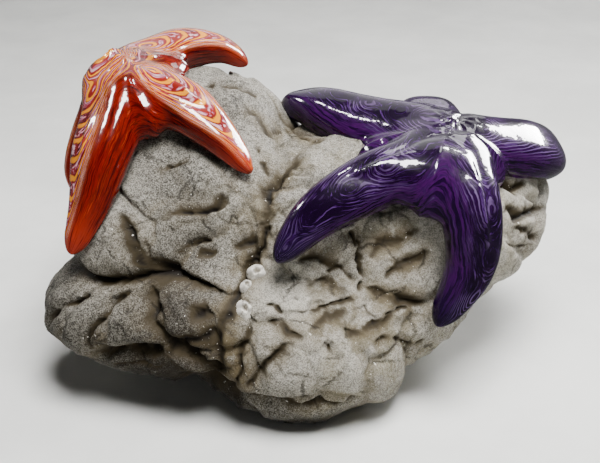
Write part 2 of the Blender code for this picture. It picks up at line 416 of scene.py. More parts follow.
class NodeGraph:
    """Adds nodes to a tree and joins their sockets."""

    def __init__(self, tree: bpy.types.NodeTree) -> None:
        """Start on a tree, which keeps any nodes it has."""
        self.tree = tree

    def add(self, kind: str, inputs: dict | None = None, **settings: Any) -> bpy.types.Node:
        """One node with its sockets set or linked.

        Args:
            kind: The node's type name without the ShaderNode prefix.
            inputs: Socket name or number to a value, or to the socket that feeds it.
            settings: The node's own options.

        Returns:
            The node.
        """
        node = self.tree.nodes.new(kind if kind.startswith("Node") else f"ShaderNode{kind}")
        for name, value in settings.items():
            setattr(node, name, value)
        for name, value in (inputs or {}).items():
            self.feed(node.inputs[name], value)
        return node

    def feed(self, socket: bpy.types.NodeSocket, value: Any) -> None:
        """Link another node's socket to this one, or set its own value.

        Args:
            socket: The socket to feed.
            value: The other socket, or a value.
        """
        if isinstance(value, bpy.types.NodeSocket):
            self.tree.links.new(value, socket)
        else:
            socket.default_value = value

    def math(self, operation: str, *values: Any) -> bpy.types.NodeSocket:
        """The result of a Math node."""
        return self.add("Math", dict(enumerate(values)), operation=operation).outputs[0]

    def plus(self, *values: Any) -> bpy.types.NodeSocket:
        """The sum of the values."""
        return reduce(lambda total, value: self.math("ADD", total, value), values)

    def times(self, *values: Any) -> bpy.types.NodeSocket:
        """The product of the values."""
        return reduce(lambda total, value: self.math("MULTIPLY", total, value), values)

    def less(self, value: Any, taken: Any) -> bpy.types.NodeSocket:
        """One value less another."""
        return self.math("SUBTRACT", value, taken)

    def ease(self, value: Any, low: float, high: float) -> bpy.types.NodeSocket:
        """A smooth rise from 0 at `low` to 1 at `high`."""
        inputs = {"Value": value, "From Min": low, "From Max": high}
        return self.add("MapRange", inputs, interpolation_type="SMOOTHSTEP").outputs["Result"]

    def mix(self, share: Any, first: Any, second: Any, blend: str = "MIX") -> bpy.types.NodeSocket:
        """Two colours mixed by a share.

        Args:
            share: How much of the second shows.
            first: A colour as three numbers, or a socket.
            second: The other colour.
            blend: The Mix node's way of mixing.

        Returns:
            The mixed colour.
        """
        node = self.add("Mix", data_type="RGBA", blend_type=blend)
        for socket, value in zip((node.inputs[0], node.inputs[6], node.inputs[7]), (share, first, second)):
            self.feed(socket, (*value, 1) if isinstance(value, tuple) else value)
        return node.outputs[2]

    def ramp(self, value: Any, stops: Sequence[tuple[float, Point]]) -> bpy.types.NodeSocket:
        """A straight colour ramp.

        Args:
            value: Where to read it, from 0 to 1.
            stops: Places along it and their colours.

        Returns:
            The colour there.
        """
        node = self.add("ValToRGB", {"Fac": value})
        elements = node.color_ramp.elements
        while len(elements) < len(stops):
            elements.new(0.5)
        for element, (place, colour) in zip(elements, stops):
            element.position = place
            element.color = (*colour, 1)
        return node.outputs["Color"]

    def noise(self, vector: Any, scale: Any, detail: float, roughness: float = 0.5) -> bpy.types.NodeSocket:
        """A noise texture's value."""
        inputs = {"Vector": vector, "Scale": scale, "Detail": detail, "Roughness": roughness}
        return self.add("TexNoise", inputs).outputs["Fac"]

    def attribute(self, name: str) -> bpy.types.NodeSocket:
        """A number stored on the mesh."""
        return self.add("Attribute", attribute_name=name).outputs["Fac"]

    def combine(self, x: Any, y: Any, z: Any) -> bpy.types.NodeSocket:
        """A vector from three numbers."""
        return self.add("CombineXYZ", {0: x, 1: y, 2: z}).outputs[0]

    def place(self) -> bpy.types.NodeSocket:
        """Where the surface lies in its object, in metres."""
        return self.add("TexCoord").outputs["Object"]

    def bump(self, height: Any, strength: float, distance: float) -> bpy.types.NodeSocket:
        """The surface's normal, bent by a height."""
        inputs = {"Height": height, "Strength": strength, "Distance": distance}
        return self.add("Bump", inputs).outputs["Normal"]


def new_group(name: str, inputs: dict[str, float], outputs: Sequence[str]) -> tuple[NodeGraph, Any, Any]:
    """An empty shader group whose named sockets all carry numbers.

    Args:
        name: The group's name.
        inputs: Each input and its default.
        outputs: Each output.

    Returns:
        The group's graph, the sockets that give its inputs, and those that take its outputs.
    """
    group = bpy.data.node_groups.new(name, "ShaderNodeTree")
    for title, value in inputs.items():
        socket = group.interface.new_socket(title, in_out="INPUT", socket_type="NodeSocketFloat")
        socket.default_value = value
    for title in outputs:
        group.interface.new_socket(title, in_out="OUTPUT", socket_type="NodeSocketFloat")
    graph = NodeGraph(group)
    return graph, graph.add("NodeGroupInput").outputs, graph.add("NodeGroupOutput").inputs


def new_material(name: str) -> tuple[bpy.types.Material, NodeGraph, bpy.types.Node]:
    """An empty material with one Principled shader.

    Args:
        name: The material's name.

    Returns:
        The material, its graph and its Principled node.
    """
    material = bpy.data.materials.new(name)
    material.use_nodes = True
    return material, NodeGraph(material.node_tree), material.node_tree.nodes["Principled BSDF"]


def build_grain_group() -> bpy.types.NodeTree:
    """Mineral grain: fine and coarse specks, as a tone from 0 to 1 and a height.

    Returns:
        The group, with input Grain Size in millimetres and outputs Tone and Height.
    """
    graph, given, result = new_group("mineral_grain", {"Grain Size": 1.0}, ("Tone", "Height"))
    scale = graph.math("DIVIDE", 1000.0, given["Grain Size"])
    fine = graph.noise(graph.place(), scale, 2.0, 0.8)
    coarse = graph.noise(graph.place(), graph.times(scale, 0.3), 3.0, 0.7)
    tone = graph.plus(graph.times(fine, 0.72), graph.times(coarse, 0.28))
    graph.feed(result["Tone"], graph.ease(tone, 0.38, 0.62))
    graph.feed(result["Height"], tone)
    return graph.tree


def build_comb_group() -> bpy.types.NodeTree:
    """Combed glass threads: nested U-shapes on top of an arm, whose sides are drawn back along its shoulders.

    The position of a thread is its run along the arm, plus the comb's pull times a power of how far round
    the arm it lies, plus a cosine along the middle that closes some threads into eyes, all bent by noise.

    Returns:
        The group, with outputs Position in spacings, Dash, Cloud, Streak, Side and Ripple.
    """
    inputs = {"Spacing": 12.0, "Pull": 300.0, "Power": 3.0, "Blend": 0.08, "Eye": 0.0, "Eye Spacing": 26.0,
              "Wander": 4.0, "Dash Length": 3.0, "Shoulder": 0.6}
    titles = ("Position", "Dash", "Cloud", "Streak", "Side", "Ripple")
    graph, given, result = new_group("combed_threads", inputs, titles)
    place = graph.place()
    run, around, sway = (graph.attribute(name) for name in ("run", "around", "sway"))
    slow = graph.less(graph.noise(place, 26.0, 1.0), 0.5)
    quick = graph.less(graph.noise(place, 120.0, 2.0), 0.5)
    bend = graph.times(graph.plus(graph.times(slow, 3.2), graph.times(quick, 1.1)), given["Wander"])
    top = graph.math("MINIMUM", around, graph.plus(given["Shoulder"], 0.12))
    pull = graph.times(graph.math("POWER", top, given["Power"]), given["Pull"])
    turns = graph.math("DIVIDE", graph.times(run, FULL_TURN), given["Eye Spacing"])
    narrow = graph.less(1.0, graph.ease(around, 0.05, 0.5))
    eye = graph.times(graph.math("COSINE", turns), given["Eye"], narrow)
    position = graph.plus(graph.plus(run, pull), graph.plus(eye, bend))
    graph.feed(result["Position"], graph.math("DIVIDE", position, given["Spacing"]))
    spread = graph.plus(graph.times(sway, 7.0), graph.times(quick, 1.5))
    cell = graph.combine(graph.math("DIVIDE", position, given["Dash Length"]), spread, 0.0)
    graph.feed(result["Dash"], graph.noise(cell, 1.0, 1.0))
    graph.feed(result["Cloud"], graph.noise(place, 34.0, 3.0, 0.6))
    rounds = graph.plus(graph.times(around, 15.0), graph.times(bend, 0.3))
    lengthwise = graph.combine(rounds, graph.times(run, 0.035), graph.times(sway, 1.3))
    graph.feed(result["Streak"], graph.noise(lengthwise, 1.0, 3.0, 0.6))
    low = graph.less(given["Shoulder"], given["Blend"])
    flank = graph.ease(around, low, graph.plus(given["Shoulder"], given["Blend"]))
    beyond_hub = graph.ease(run, 6.0, 24.0)
    graph.feed(result["Side"], graph.times(flank, beyond_hub))
    height = graph.plus(graph.times(graph.noise(place, 240.0, 1.0), 0.30), graph.noise(place, 75.0, 1.0))
    graph.feed(result["Ripple"], height)
    return graph.tree


@dataclass(frozen=True)
class StoneFinish:
    """Rough grey natural stone with a speckled grain, and brown earth in its grooves."""

    pale: Point = (0.43, 0.405, 0.35)
    dark: Point = (0.026, 0.022, 0.017)
    fleck: Point = (0.80, 0.76, 0.68)
    earth: Point = (0.094, 0.071, 0.036)
    moss: Point = (0.14, 0.115, 0.045)
    # Near black: painted shade deep in cracks and rifts, and the black of hairline cracks
    crevice_shade_and_crack_black: Point = (0.010, 0.008, 0.006)
    grain_dark: Point = (0.50, 0.49, 0.47)
    grain_pale: Point = (1.0, 1.0, 1.0)
    roughness: float = 0.82
    grain_size: float = 0.85
    grain_strength: float = 0.52
    bump: float = 0.6
    bump_depth: float = 0.0009
    shares: tuple[float, float, float, float] = (0.46, 0.70, 0.16, 0.35)

    def material(self, grain: bpy.types.NodeTree) -> bpy.types.Material:
        """The stone: its tone, then moss, earth, painted shade in its cracks, hairline cracks and bright
        flecks over it.

        Tone is a sum of the grain, broad patches, each block's own tone and the patches of painted light and
        shade, in `shares`.

        Args:
            grain: The shader group for its grain.

        Returns:
            The material.
        """
        material, graph, shader = new_material("speckled_stone")
        shader.inputs["Specular IOR Level"].default_value = 0.08
        specks = graph.add("Group", node_tree=grain)
        specks.inputs["Grain Size"].default_value = self.grain_size
        place = graph.place()
        broad = graph.noise(place, 14.0, 4.0, 0.6)
        medium = graph.noise(place, 70.0, 4.0, 0.65)
        small = graph.noise(place, 420.0, 2.0, 0.6)
        # The last part, shade, is painted light and shade: paler patches where light falls, darker ones in a
        # hollow and under overhangs
        parts = (specks.outputs["Tone"], broad, graph.attribute("block_tone"), graph.attribute("shade"))
        tone = graph.plus(*(graph.times(part, share) for part, share in zip(parts, self.shares)))
        stone = graph.mix(graph.ease(tone, 0.08, 1.32), self.dark, self.pale)
        grains = graph.ramp(specks.outputs["Tone"], ((0.25, self.grain_dark), (0.62, self.grain_pale)))
        stone = graph.mix(self.grain_strength, stone, grains, blend="MULTIPLY")
        warm = graph.times(graph.ease(medium, 0.40, 0.62), graph.attribute("warm_side"), 0.42)
        stone = graph.mix(graph.times(graph.ease(broad, 0.35, 0.65), warm), stone, self.moss)
        soil = graph.times(graph.attribute("earth"), graph.ease(medium, 0.30, 0.52), 0.95)
        stone = graph.mix(soil, stone, self.earth)
        # Painted shade: cracks and rifts are darkened by how deep they cut, first towards earth mixed with
        # near black, then to near black
        crevice_shade = graph.attribute("crevice_shade")
        stone = graph.mix(graph.ease(crevice_shade, 0.05, 0.5), stone, graph.mix(0.65, self.earth, self.crevice_shade_and_crack_black))
        stone = graph.mix(graph.ease(crevice_shade, 0.45, 0.95), stone, self.crevice_shade_and_crack_black)
        bend = graph.add("TexNoise", {"Vector": place, "Scale": 45.0, "Detail": 4.0, "Roughness": 0.6})
        inputs = {0: bend.outputs["Color"], 1: (0.016, 0.016, 0.016), 2: place}
        bent = graph.add("VectorMath", inputs, operation="MULTIPLY_ADD").outputs[0]
        edges = graph.add("TexVoronoi", {"Vector": bent, "Scale": 30.0}, feature="DISTANCE_TO_EDGE")
        hairline = graph.less(1.0, graph.ease(edges.outputs["Distance"], 0.006, 0.045))
        hairline = graph.times(hairline, graph.ease(medium, 0.44, 0.60))
        stone = graph.mix(graph.times(hairline, 0.62), stone, self.crevice_shade_and_crack_black)
        shine = graph.times(graph.ease(small, 0.68, 0.74), graph.ease(medium, 0.45, 0.6), 0.8)
        graph.feed(shader.inputs["Base Color"], graph.mix(shine, stone, self.fleck))
        graph.feed(shader.inputs["Roughness"], graph.less(self.roughness, graph.times(medium, 0.3)))
        height = graph.plus(graph.times(specks.outputs["Height"], 0.6), graph.noise(place, 230.0, 5.0, 0.68))
        height = graph.less(height, graph.times(hairline, 0.9))
        graph.feed(shader.inputs["Normal"], graph.bump(height, self.bump, self.bump_depth))
        return material


@dataclass(frozen=True)
class ShellFinish:
    """Chalky white shell with patches of soil."""

    chalk: Point = (0.62, 0.59, 0.53)
    soil: Point = (0.12, 0.095, 0.065)
    roughness: float = 0.6
    grain_size: float = 0.5
    bump: float = 0.5
    bump_depth: float = 0.0004

    def material(self, grain: bpy.types.NodeTree) -> bpy.types.Material:
        """The shell, mottled by its grain and soiled in patches.

        Args:
            grain: The shader group for its grain.

        Returns:
            The material.
        """
        material, graph, shader = new_material("chalky_shell")
        specks = graph.add("Group", node_tree=grain)
        specks.inputs["Grain Size"].default_value = self.grain_size
        patches = graph.noise(graph.place(), 300.0, 3.0, 0.6)
        chalk = graph.mix(graph.times(specks.outputs["Tone"], 0.25), self.chalk, self.soil)
        dirt = graph.times(graph.ease(patches, 0.52, 0.70), 0.75)
        graph.feed(shader.inputs["Base Color"], graph.mix(dirt, chalk, self.soil))
        graph.feed(shader.inputs["Roughness"], graph.plus(self.roughness, graph.times(patches, 0.2)))
        graph.feed(shader.inputs["Normal"], graph.bump(specks.outputs["Height"], self.bump, self.bump_depth))
        return material


@dataclass(frozen=True)
class GlassFinish:
    """Cased glass: opaque combed colours under a clear glossy layer.

    `ground` colours lie between the threads, `thread` along them, `dashes` are broken rows between them, and
    `side` runs down the arm's flanks as lengthwise streaks. Lengths are in millimetres on the arm, and
    `shoulder` and `blend`, where the top gives way to the sides, in quarter turns round it.
    """

    name: str
    ground: tuple[Point, Point]
    thread: Point
    thread_width: float
    thread_patchiness: float
    dashes: tuple[Point, Point]
    dash_level: float
    side: tuple[tuple[float, Point], ...]
    tip: Point
    spacing: float
    pull: float
    eye: float
    wander: float
    shoulder: float
    dash_length: float
    ripple: float = 0.25
    ripple_depth: float = 0.0015
    power: float = 3.0
    blend: float = 0.08
    roughness: float = 0.25

    def top_colour(self, graph: NodeGraph, threads: bpy.types.Node) -> bpy.types.NodeSocket:
        """The combed colours: ground, then dashes, then the threads over them.

        Args:
            graph: The material's graph.
            threads: The comb group's node.

        Returns:
            The colour.
        """
        position, dash, cloud = (threads.outputs[title] for title in ("Position", "Dash", "Cloud"))
        phase = graph.math("FRACT", graph.plus(position, graph.times(cloud, 0.4)))
        ground = graph.mix(graph.ease(cloud, 0.38, 0.6), *self.ground)
        between = graph.times(graph.ease(phase, 0.34, 0.44), graph.less(1.0, graph.ease(phase, 0.82, 0.94)))
        level = self.dash_level
        spots = graph.times(graph.ease(dash, level, level + 0.05), between)
        dashes = graph.mix(graph.ease(dash, level + 0.06, level + 0.14), *self.dashes)
        colour = graph.mix(spots, ground, dashes)
        away = graph.math("ABSOLUTE", graph.less(phase, 0.16))
        half = graph.times(self.thread_width, graph.plus(0.45, dash))
        line = graph.add("MapRange", {"Value": away, "From Min": half, "From Max": graph.times(half, 0.6)})
        worn = graph.less(1.0, graph.times(graph.ease(cloud, 0.62, 0.42), self.thread_patchiness))
        return graph.mix(graph.times(line.outputs["Result"], worn), colour, self.thread)

    def material(self, comb: bpy.types.NodeTree) -> bpy.types.Material:
        """The glass, coloured across its threads on top and along its streaks down the sides.

        Args:
            comb: The shader group for its threads.

        Returns:
            The material.
        """
        material, graph, shader = new_material(self.name)
        threads = graph.add("Group", node_tree=comb)
        for title in ("Spacing", "Pull", "Power", "Blend", "Eye", "Wander", "Shoulder", "Dash Length"):
            threads.inputs[title].default_value = getattr(self, title.lower().replace(" ", "_"))
        side = graph.ramp(threads.outputs["Streak"], self.side)
        colour = graph.mix(threads.outputs["Side"], self.top_colour(graph, threads), side)
        # Towards each tip the colour turns to `tip`; for the amber star this is partly a painted glow
        tip = graph.times(graph.attribute("tip"), graph.ease(threads.outputs["Streak"], 0.3, 0.6))
        graph.feed(shader.inputs["Base Color"], graph.mix(tip, colour, self.tip))
        constants = {"Roughness": self.roughness, "Specular IOR Level": 0.05, "IOR": 1.5, "Coat Weight": 1.0,
                     "Coat IOR": 1.36, "Coat Roughness": 0.02}
        for title, value in constants.items():
            shader.inputs[title].default_value = value
        normal = graph.bump(threads.outputs["Ripple"], self.ripple, self.ripple_depth)
        graph.feed(shader.inputs["Normal"], normal)
        graph.feed(shader.inputs["Coat Normal"], normal)
        return material


VIOLET_GLASS = GlassFinish(
    name="violet_combed_glass",
    ground=((0.004, 0.0006, 0.008), (0.012, 0.0013, 0.023)),
    thread=(0.10, 0.060, 0.145), thread_width=0.18, thread_patchiness=1.0,
    dashes=((0.020, 0.003, 0.042), (0.055, 0.024, 0.095)), dash_level=0.54,
    side=((0.30, (0.003, 0.0004, 0.008)), (0.47, (0.009, 0.0008, 0.019)), (0.56, (0.036, 0.0022, 0.056)),
          (0.62, (0.014, 0.0015, 0.030)), (0.80, (0.075, 0.040, 0.115))),
    tip=(0.005, 0.001, 0.016),
    spacing=7.5, pull=100.0, power=1.5, blend=0.18, eye=8.0, wander=4.5, shoulder=0.52, dash_length=2.6,
)
AMBER_GLASS = GlassFinish(
    name="amber_combed_glass",
    ground=((0.085, 0.004, 0.005), (0.21, 0.014, 0.009)),
    thread=(0.72, 0.26, 0.0002), thread_width=0.17, thread_patchiness=0.25,
    dashes=((0.30, 0.07, 0.12), (0.52, 0.31, 0.33)), dash_level=0.48,
    side=((0.28, (0.016, 0.0006, 0.0005)), (0.42, (0.055, 0.0015, 0.0008)), (0.53, (0.15, 0.005, 0.0016)),
          (0.60, (0.05, 0.0015, 0.0008)), (0.68, (0.24, 0.018, 0.003)), (0.80, (0.25, 0.06, 0.06))),
    # Painted glow: the tips' coral red is partly the glass's own colour and partly light showing through the
    # thin tips
    tip=(0.34, 0.026, 0.010),
    spacing=12.5, pull=330.0, eye=0.0, wander=3.5, shoulder=0.55, dash_length=3.2,
)


# ---------------------------------------------------------------- the boulder

# Centre and radii of each mass, in millimetres
ROCK_MASSES: dict[str, tuple[Point, Point]] = {
    "heart": ((20, 5, 85), (116, 76, 75)),
    "keel": ((6, 16, 42), (92, 56, 50)),
    "left_shoulder": ((-100, 28, 128), (48, 52, 60)),
    "crown": ((-55, 40, 132), (56, 52, 61)),
    "crown_back": ((-70, 62, 138), (40, 36, 56)),
    "amber_slope": ((-62, -8, 122), (46, 44, 40)),
    "right_shoulder": ((98, 5, 108), (68, 62, 54)),
    "right_back": ((132, 28, 119), (39, 44, 38)),
    "ridge": ((35, 33, 112), (68, 50, 47)),
    "cheek": ((-118, -38, 59), (55, 51, 41)),
    "left_flank": ((-102, -14, 101), (51, 55, 50)),
    "belly": ((-60, -49, 61), (64, 52, 42)),
    "chin": ((2, -60, 43), (70, 54, 50)),
    "right_flank": ((51, -23, 66), (65, 57, 50)),
}

# Middle of each front block in millimetres, its relative size, and the depth in millimetres of the rift round
# it, which is cut only towards the back
FRONT_BLOCKS: dict[str, tuple[float, float, float, float, float]] = {
    "crown": (-45, 20, 193, 1.0, 4),
    "crown_back": (-75, 60, 180, 1.0, 4),
    "upper_slope": (-38, -6, 168, 1.05, 3),
    "under_amber_star": (-85, -27, 158, 1.25, 4),
    "left_middle": (-126, -58, 122, 1.0, 9),
    "upper_fold": (-72, -46, 128, 0.95, 5),
    "lower_fold": (-52, -64, 108, 0.9, 7),
    "cheek_outer": (-163, -62, 84, 0.85, 6),
    "cheek_middle": (-142, -80, 80, 0.85, 6),
    "cheek_inner": (-112, -92, 80, 1.15, 10),
    "middle": (-73, -94, 88, 1.05, 11),
    "jowl_outer": (-108, -94, 40, 1.0, 10),
    "jowl_inner": (-72, -104, 50, 0.8, 11),
    "tongue_upper": (-42, -98, 86, 0.62, 6),
    "tongue_lower": (-44, -108, 56, 0.62, 8),
    "right_slope": (17, -5, 164, 1.3, 4),
    "under_violet_arm": (14, -60, 126, 1.15, 4),
    "barrel": (66, -62, 122, 1.25, 5),
    "wrinkle_left": (-8, -84, 96, 0.85, 4),
    "wrinkle_right": (30, -88, 92, 0.95, 4),
    "chin": (10, -112, 60, 1.5, 5),
    "under_chin": (2, -106, 14, 1.1, 4),
    "low_right_upper": (60, -96, 74, 0.95, 4),
    "low_right_lower": (62, -100, 46, 1.0, 4),
    "right_top": (154, -16, 146, 0.9, 6),
    "right_upper": (150, -38, 122, 0.8, 6),
    "right_middle": (138, -50, 98, 0.95, 5),
    "right_lower": (116, -62, 70, 1.0, 5),
    "right_foot": (88, -84, 52, 0.9, 4),
}

# Patches of painted light and shade on the stone: the hollow, jowl, underside and ledge are darkened as
# painted shade in a hollow and under overhangs, and the barrel, chin and lobe are brightened as painted
# light; the cheek and shoulder are darker and the brow paler. Centre and reach in millimetres, then how much
PAINTED_LIGHT_AND_SHADE: dict[str, tuple[Point, float, float]] = {
    "cheek": ((-150, -62, 66), 46.0, -0.75),
    "hollow": ((-84, -96, 84), 30.0, -1.0),
    "jowl": ((-100, -98, 40), 40.0, -0.9),
    "underside": ((-66, -100, 18), 32.0, -2.2),
    "ledge": ((8, -100, 8), 30.0, -1.5),
    "shoulder": ((-90, -40, 140), 40.0, -0.4),
    "barrel": ((66, -66, 118), 44.0, 1.2),
    "brow": ((-6, -80, 104), 26.0, 1.1),
    "chin": ((10, -110, 62), 46.0, 0.6),
    "lobe": ((150, -30, 116), 46.0, 1.2),
}


@dataclass(frozen=True)
class Crack:
    """A crack or groove: its depth and half width in millimetres, how much earth it holds, and its route."""

    name: str
    depth: float
    half_width: float
    earth: float
    route: tuple[Point, ...]


CRACKS = (
    Crack("amber_slit", 4.9, 1.8, 0.2, ((-100, -29, 158), (-83, -30, 160), (-70, -27, 163))),
    Crack("shoulder_fold", 5.6, 4.5, 0.4, (
        (-89, -55, 135), (-76, -53, 138), (-58, -51, 139), (-44, -43, 144),
    )),
    Crack("cheek_top", 14, 5, 0.3, (
        (-152, -39, 97), (-141, -63, 94), (-121, -70, 96), (-110, -74, 99), (-96, -72, 101),
        (-87, -73, 101), (-79, -76, 99), (-67, -82, 97), (-52, -84, 95), (-43, -84, 92),
    )),
    Crack("cheek_pit", 8, 8, 0.2, ((-97, -72, 101), (-89, -72, 102), (-83, -75, 100))),
    Crack("amber_groove", 7, 5.5, 0.4, (
        (-96, -72, 102), (-104, -69, 108), (-110, -67, 120), (-115, -60, 131), (-119, -52, 137),
    )),
    Crack("flank_groove", 5.6, 2.5, 0.5, (
        (-104, -63, 127), (-102, -67, 120), (-99, -70, 111), (-94, -72, 102),
    )),
    Crack("centre_drop", 14, 5, 0.4, (
        (-98, -74, 99), (-99, -81, 90), (-95, -89, 82), (-90, -94, 73), (-85, -99, 64), (-82, -103, 53),
    )),
    Crack("cheek_cut", 11, 2.6, 0.1, ((-169, -58, 58), (-160, -69, 72), (-149, -72, 81), (-136, -72, 89))),
    Crack("cheek_split", 10, 2.6, 0.1, (
        (-141, -84, 52), (-138, -85, 66), (-130, -83, 77), (-119, -81, 87), (-106, -77, 94),
    )),
    Crack("jowl_top", 17, 5.5, 0.1, (
        (-141, -80, 43), (-127, -89, 51), (-112, -93, 53), (-99, -95, 56), (-87, -100, 61),
    )),
    Crack("jowl_line", 7, 2.2, 0.1, ((-129, -84, 39), (-109, -93, 45), (-90, -98, 48))),
    Crack("jowl_drop", 17, 6, 0.1, ((-86, -100, 62), (-71, -105, 57), (-59, -104, 47), (-50, -103, 40))),
    Crack("jowl_cleft", 16, 5.5, 0.1, ((-92, -98, 60), (-84, -101, 50), (-76, -102, 40), (-70, -101, 30))),
    Crack("belly_hollow", 9, 8, 0.1, ((-87, -99, 62), (-75, -100, 67), (-60, -103, 72), (-51, -99, 74))),
    Crack("belly_dip", 8, 10, 0.1, ((-72, -99, 81), (-63, -97, 85), (-56, -94, 87))),
    Crack("wedge_edge", 5.6, 2.5, 0.2, (
        (-82, -67, 108), (-79, -63, 115), (-71, -60, 119), (-61, -58, 121),
    )),
    Crack("wedge_dip", 4.2, 5, 0.1, ((-71, -64, 111), (-63, -62, 112), (-56, -64, 110))),
    Crack("mid_dip", 4.2, 6, 0.5, ((-47, -60, 116), (-36, -59, 120), (-26, -57, 121))),
    Crack("seam_top", 4.2, 3, 0.8, ((-12, 24, 172), (-21, 6, 169), (-29, 11, 177), (-41, 16, 187))),
    Crack("seam", 6.5, 5, 0.9, (
        (-1, -1, 164), (-2, -21, 159), (-7, -23, 155), (-14, -29, 149), (-19, -35, 145), (-21, -47, 139),
        (-23, -52, 128), (-23, -58, 118), (-30, -66, 109), (-37, -75, 100), (-42, -84, 92), (-46, -94, 86),
        (-50, -100, 73), (-52, -103, 58), (-50, -104, 43), (-42, -102, 31),
    )),
    Crack("tongue_right", 7, 2.6, 0.8, (
        (-33, -96, 82), (-34, -103, 72), (-38, -108, 62), (-40, -109, 47), (-40, -102, 31),
    )),
    Crack("chin_groove", 8, 3.2, 0.8, (
        (-33, -107, 41), (-24, -111, 55), (-17, -112, 64), (-9, -109, 70), (-3, -107, 73),
    )),
    Crack("crown_line", 4.9, 2.2, 0.2, (
        (-34, -4, 170), (-29, -8, 165), (-25, -15, 160), (-23, -23, 155), (-20, -29, 150),
    )),
    Crack("crown_groove", 4.2, 3, 0.2, (
        (-61, 29, 196), (-54, 29, 197), (-45, 29, 196), (-36, 29, 193), (-31, 27, 189), (-29, 23, 186),
    )),
    Crack("crown_pit", 3.5, 3, 0.1, ((-66, 41, 195), (-62, 23, 194))),
    Crack("crown_notch", 2.8, 3, 0.1, ((-51, 57, 196), (-45, 38, 197))),
    Crack("crown_scratch", 1.4, 1, 0.2, ((-42, 4, 178), (-38, 10, 180), (-32, 16, 182))),
    Crack("ridge_edge", 4.2, 3, 0.8, (
        (-16, 21, 174), (-8, 24, 168), (0, 22, 164), (8, 6, 167), (18, 0, 167),
    )),
    Crack("barrel_left", 8, 2.6, 0.6, (
        (40, -56, 130), (41, -65, 118), (41, -68, 110), (43, -76, 99), (41, -82, 94), (42, -89, 85),
    )),
    Crack("barrel_wedge", 5.6, 4, 0.7, ((34, -61, 130), (37, -63, 125), (39, -65, 120))),
    Crack("barrel_tail", 2.1, 1.2, 0.6, ((42, -88, 86), (51, -90, 78), (57, -91, 75))),
    Crack("barrel_groove_a", 3.4, 4.2, 1.0, (
        (45, -68, 111), (55, -66, 119), (62, -64, 122), (70, -62, 125), (82, -59, 128),
    )),
    Crack("barrel_groove_b", 3.6, 4.0, 1.0, (
        (54, -73, 97), (62, -73, 104), (70, -71, 107), (80, -67, 112), (90, -64, 115),
    )),
    Crack("barrel_foot", 4.0, 5.0, 1.0, (
        (43, -79, 96), (53, -80, 90), (60, -81, 86), (70, -81, 84), (81, -76, 81), (88, -71, 82),
    )),
    Crack("low_slit", 4.9, 1.5, 0.6, ((57, -89, 78), (62, -86, 79), (69, -84, 80), (75, -82, 79))),
    Crack("brow", 4.2, 2.4, 0.4, (
        (14, -72, 103), (23, -73, 105), (27, -73, 105), (33, -76, 101), (39, -78, 98),
    )),
    Crack("brow_dip", 3.2, 5, 0.8, ((-1, -68, 109), (9, -71, 114), (19, -72, 108), (28, -73, 104))),
    Crack("cheekbone", 2.2, 3.5, 0.9, (
        (1, -79, 97), (10, -77, 96), (17, -76, 97), (27, -81, 95), (33, -84, 92),
    )),
    Crack("mouth", 4.5, 1.8, 0.7, (
        (-1, -95, 83), (6, -92, 84), (13, -90, 85), (23, -89, 87), (33, -89, 88), (40, -87, 88),
    )),
    Crack("mouth_dip", 2.8, 5, 0.9, ((3, -99, 80), (14, -97, 80), (25, -93, 83), (36, -91, 84))),
    Crack("chin_slit", 9, 2.3, 0.2, ((14, -108, 73), (19, -111, 68), (24, -114, 63))),
    Crack("chin_under", 7, 2.4, 0.4, (
        (-39, -102, 31), (-27, -106, 31), (-17, -112, 31), (-3, -114, 29), (14, -114, 29), (27, -108, 24),
        (37, -107, 26), (47, -106, 32),
    )),
    Crack("left_slit", 5, 1.4, 0.3, ((-22, -87, 89), (-16, -89, 89), (-11, -94, 85))),
    Crack("left_fold", 4.2, 3, 0.8, ((-24, -95, 80), (-14, -98, 80), (-7, -103, 77), (3, -106, 76))),
    Crack("right_ledge", 3.8, 3, 1.0, (
        (30, -104, 71), (36, -96, 74), (47, -93, 76), (55, -91, 75), (65, -86, 79),
    )),
    Crack("thin_drop", 2.1, 1, 0.2, (
        (44, -95, 73), (45, -100, 64), (45, -105, 55), (45, -108, 45), (43, -108, 35),
    )),
    Crack("low_ledge", 2.6, 3, 0.8, ((45, -100, 64), (54, -98, 66), (65, -93, 62))),
    Crack("low_notch", 5.6, 2.2, 0.6, ((64, -94, 58), (71, -90, 51), (76, -85, 45))),
    Crack("low_fold", 4.9, 3.2, 0.8, ((63, -94, 65), (73, -86, 54), (82, -84, 51), (88, -81, 57))),
    Crack("lobe_slot", 8, 5, 0.2, ((136, -28, 147), (143, -27, 145), (156, -17, 142))),
    Crack("lobe_upper", 8, 5, 0.5, (
        (132, -41, 136), (140, -42, 132), (147, -39, 128), (157, -31, 125), (171, -6, 116),
    )),
    Crack("lobe_middle", 7, 3.5, 0.4, ((146, -42, 125), (153, -37, 115), (165, -17, 98))),
    Crack("cheek_hole", 18, 9, 0.1, ((-97, -68, 109), (-91, -72, 103), (-84, -70, 105))),
    Crack("tongue", 0.5, 8.5, 1.0, (
        (-48, -93, 84), (-47, -102, 71), (-46, -108, 58), (-44, -107, 44), (-43, -104, 34),
    )),
    Crack("under_notch", 24, 14, 0.1, ((-92, -96, 24), (-74, -100, 24), (-56, -101, 22), (-40, -101, 18))),
    Crack("moss_band", 0.4, 6.0, 0.7, ((0, -86, 91), (19, -94, 83), (40, -85, 90), (55, -84, 84))),
    Crack("lobe_lower", 5, 3, 0.4, ((112, -58, 72), (124, -52, 77), (136, -46, 82))),
    Crack("lobe_line", 4.2, 2, 0.4, ((134, -52, 113), (147, -43, 107), (164, -15, 94))),
)


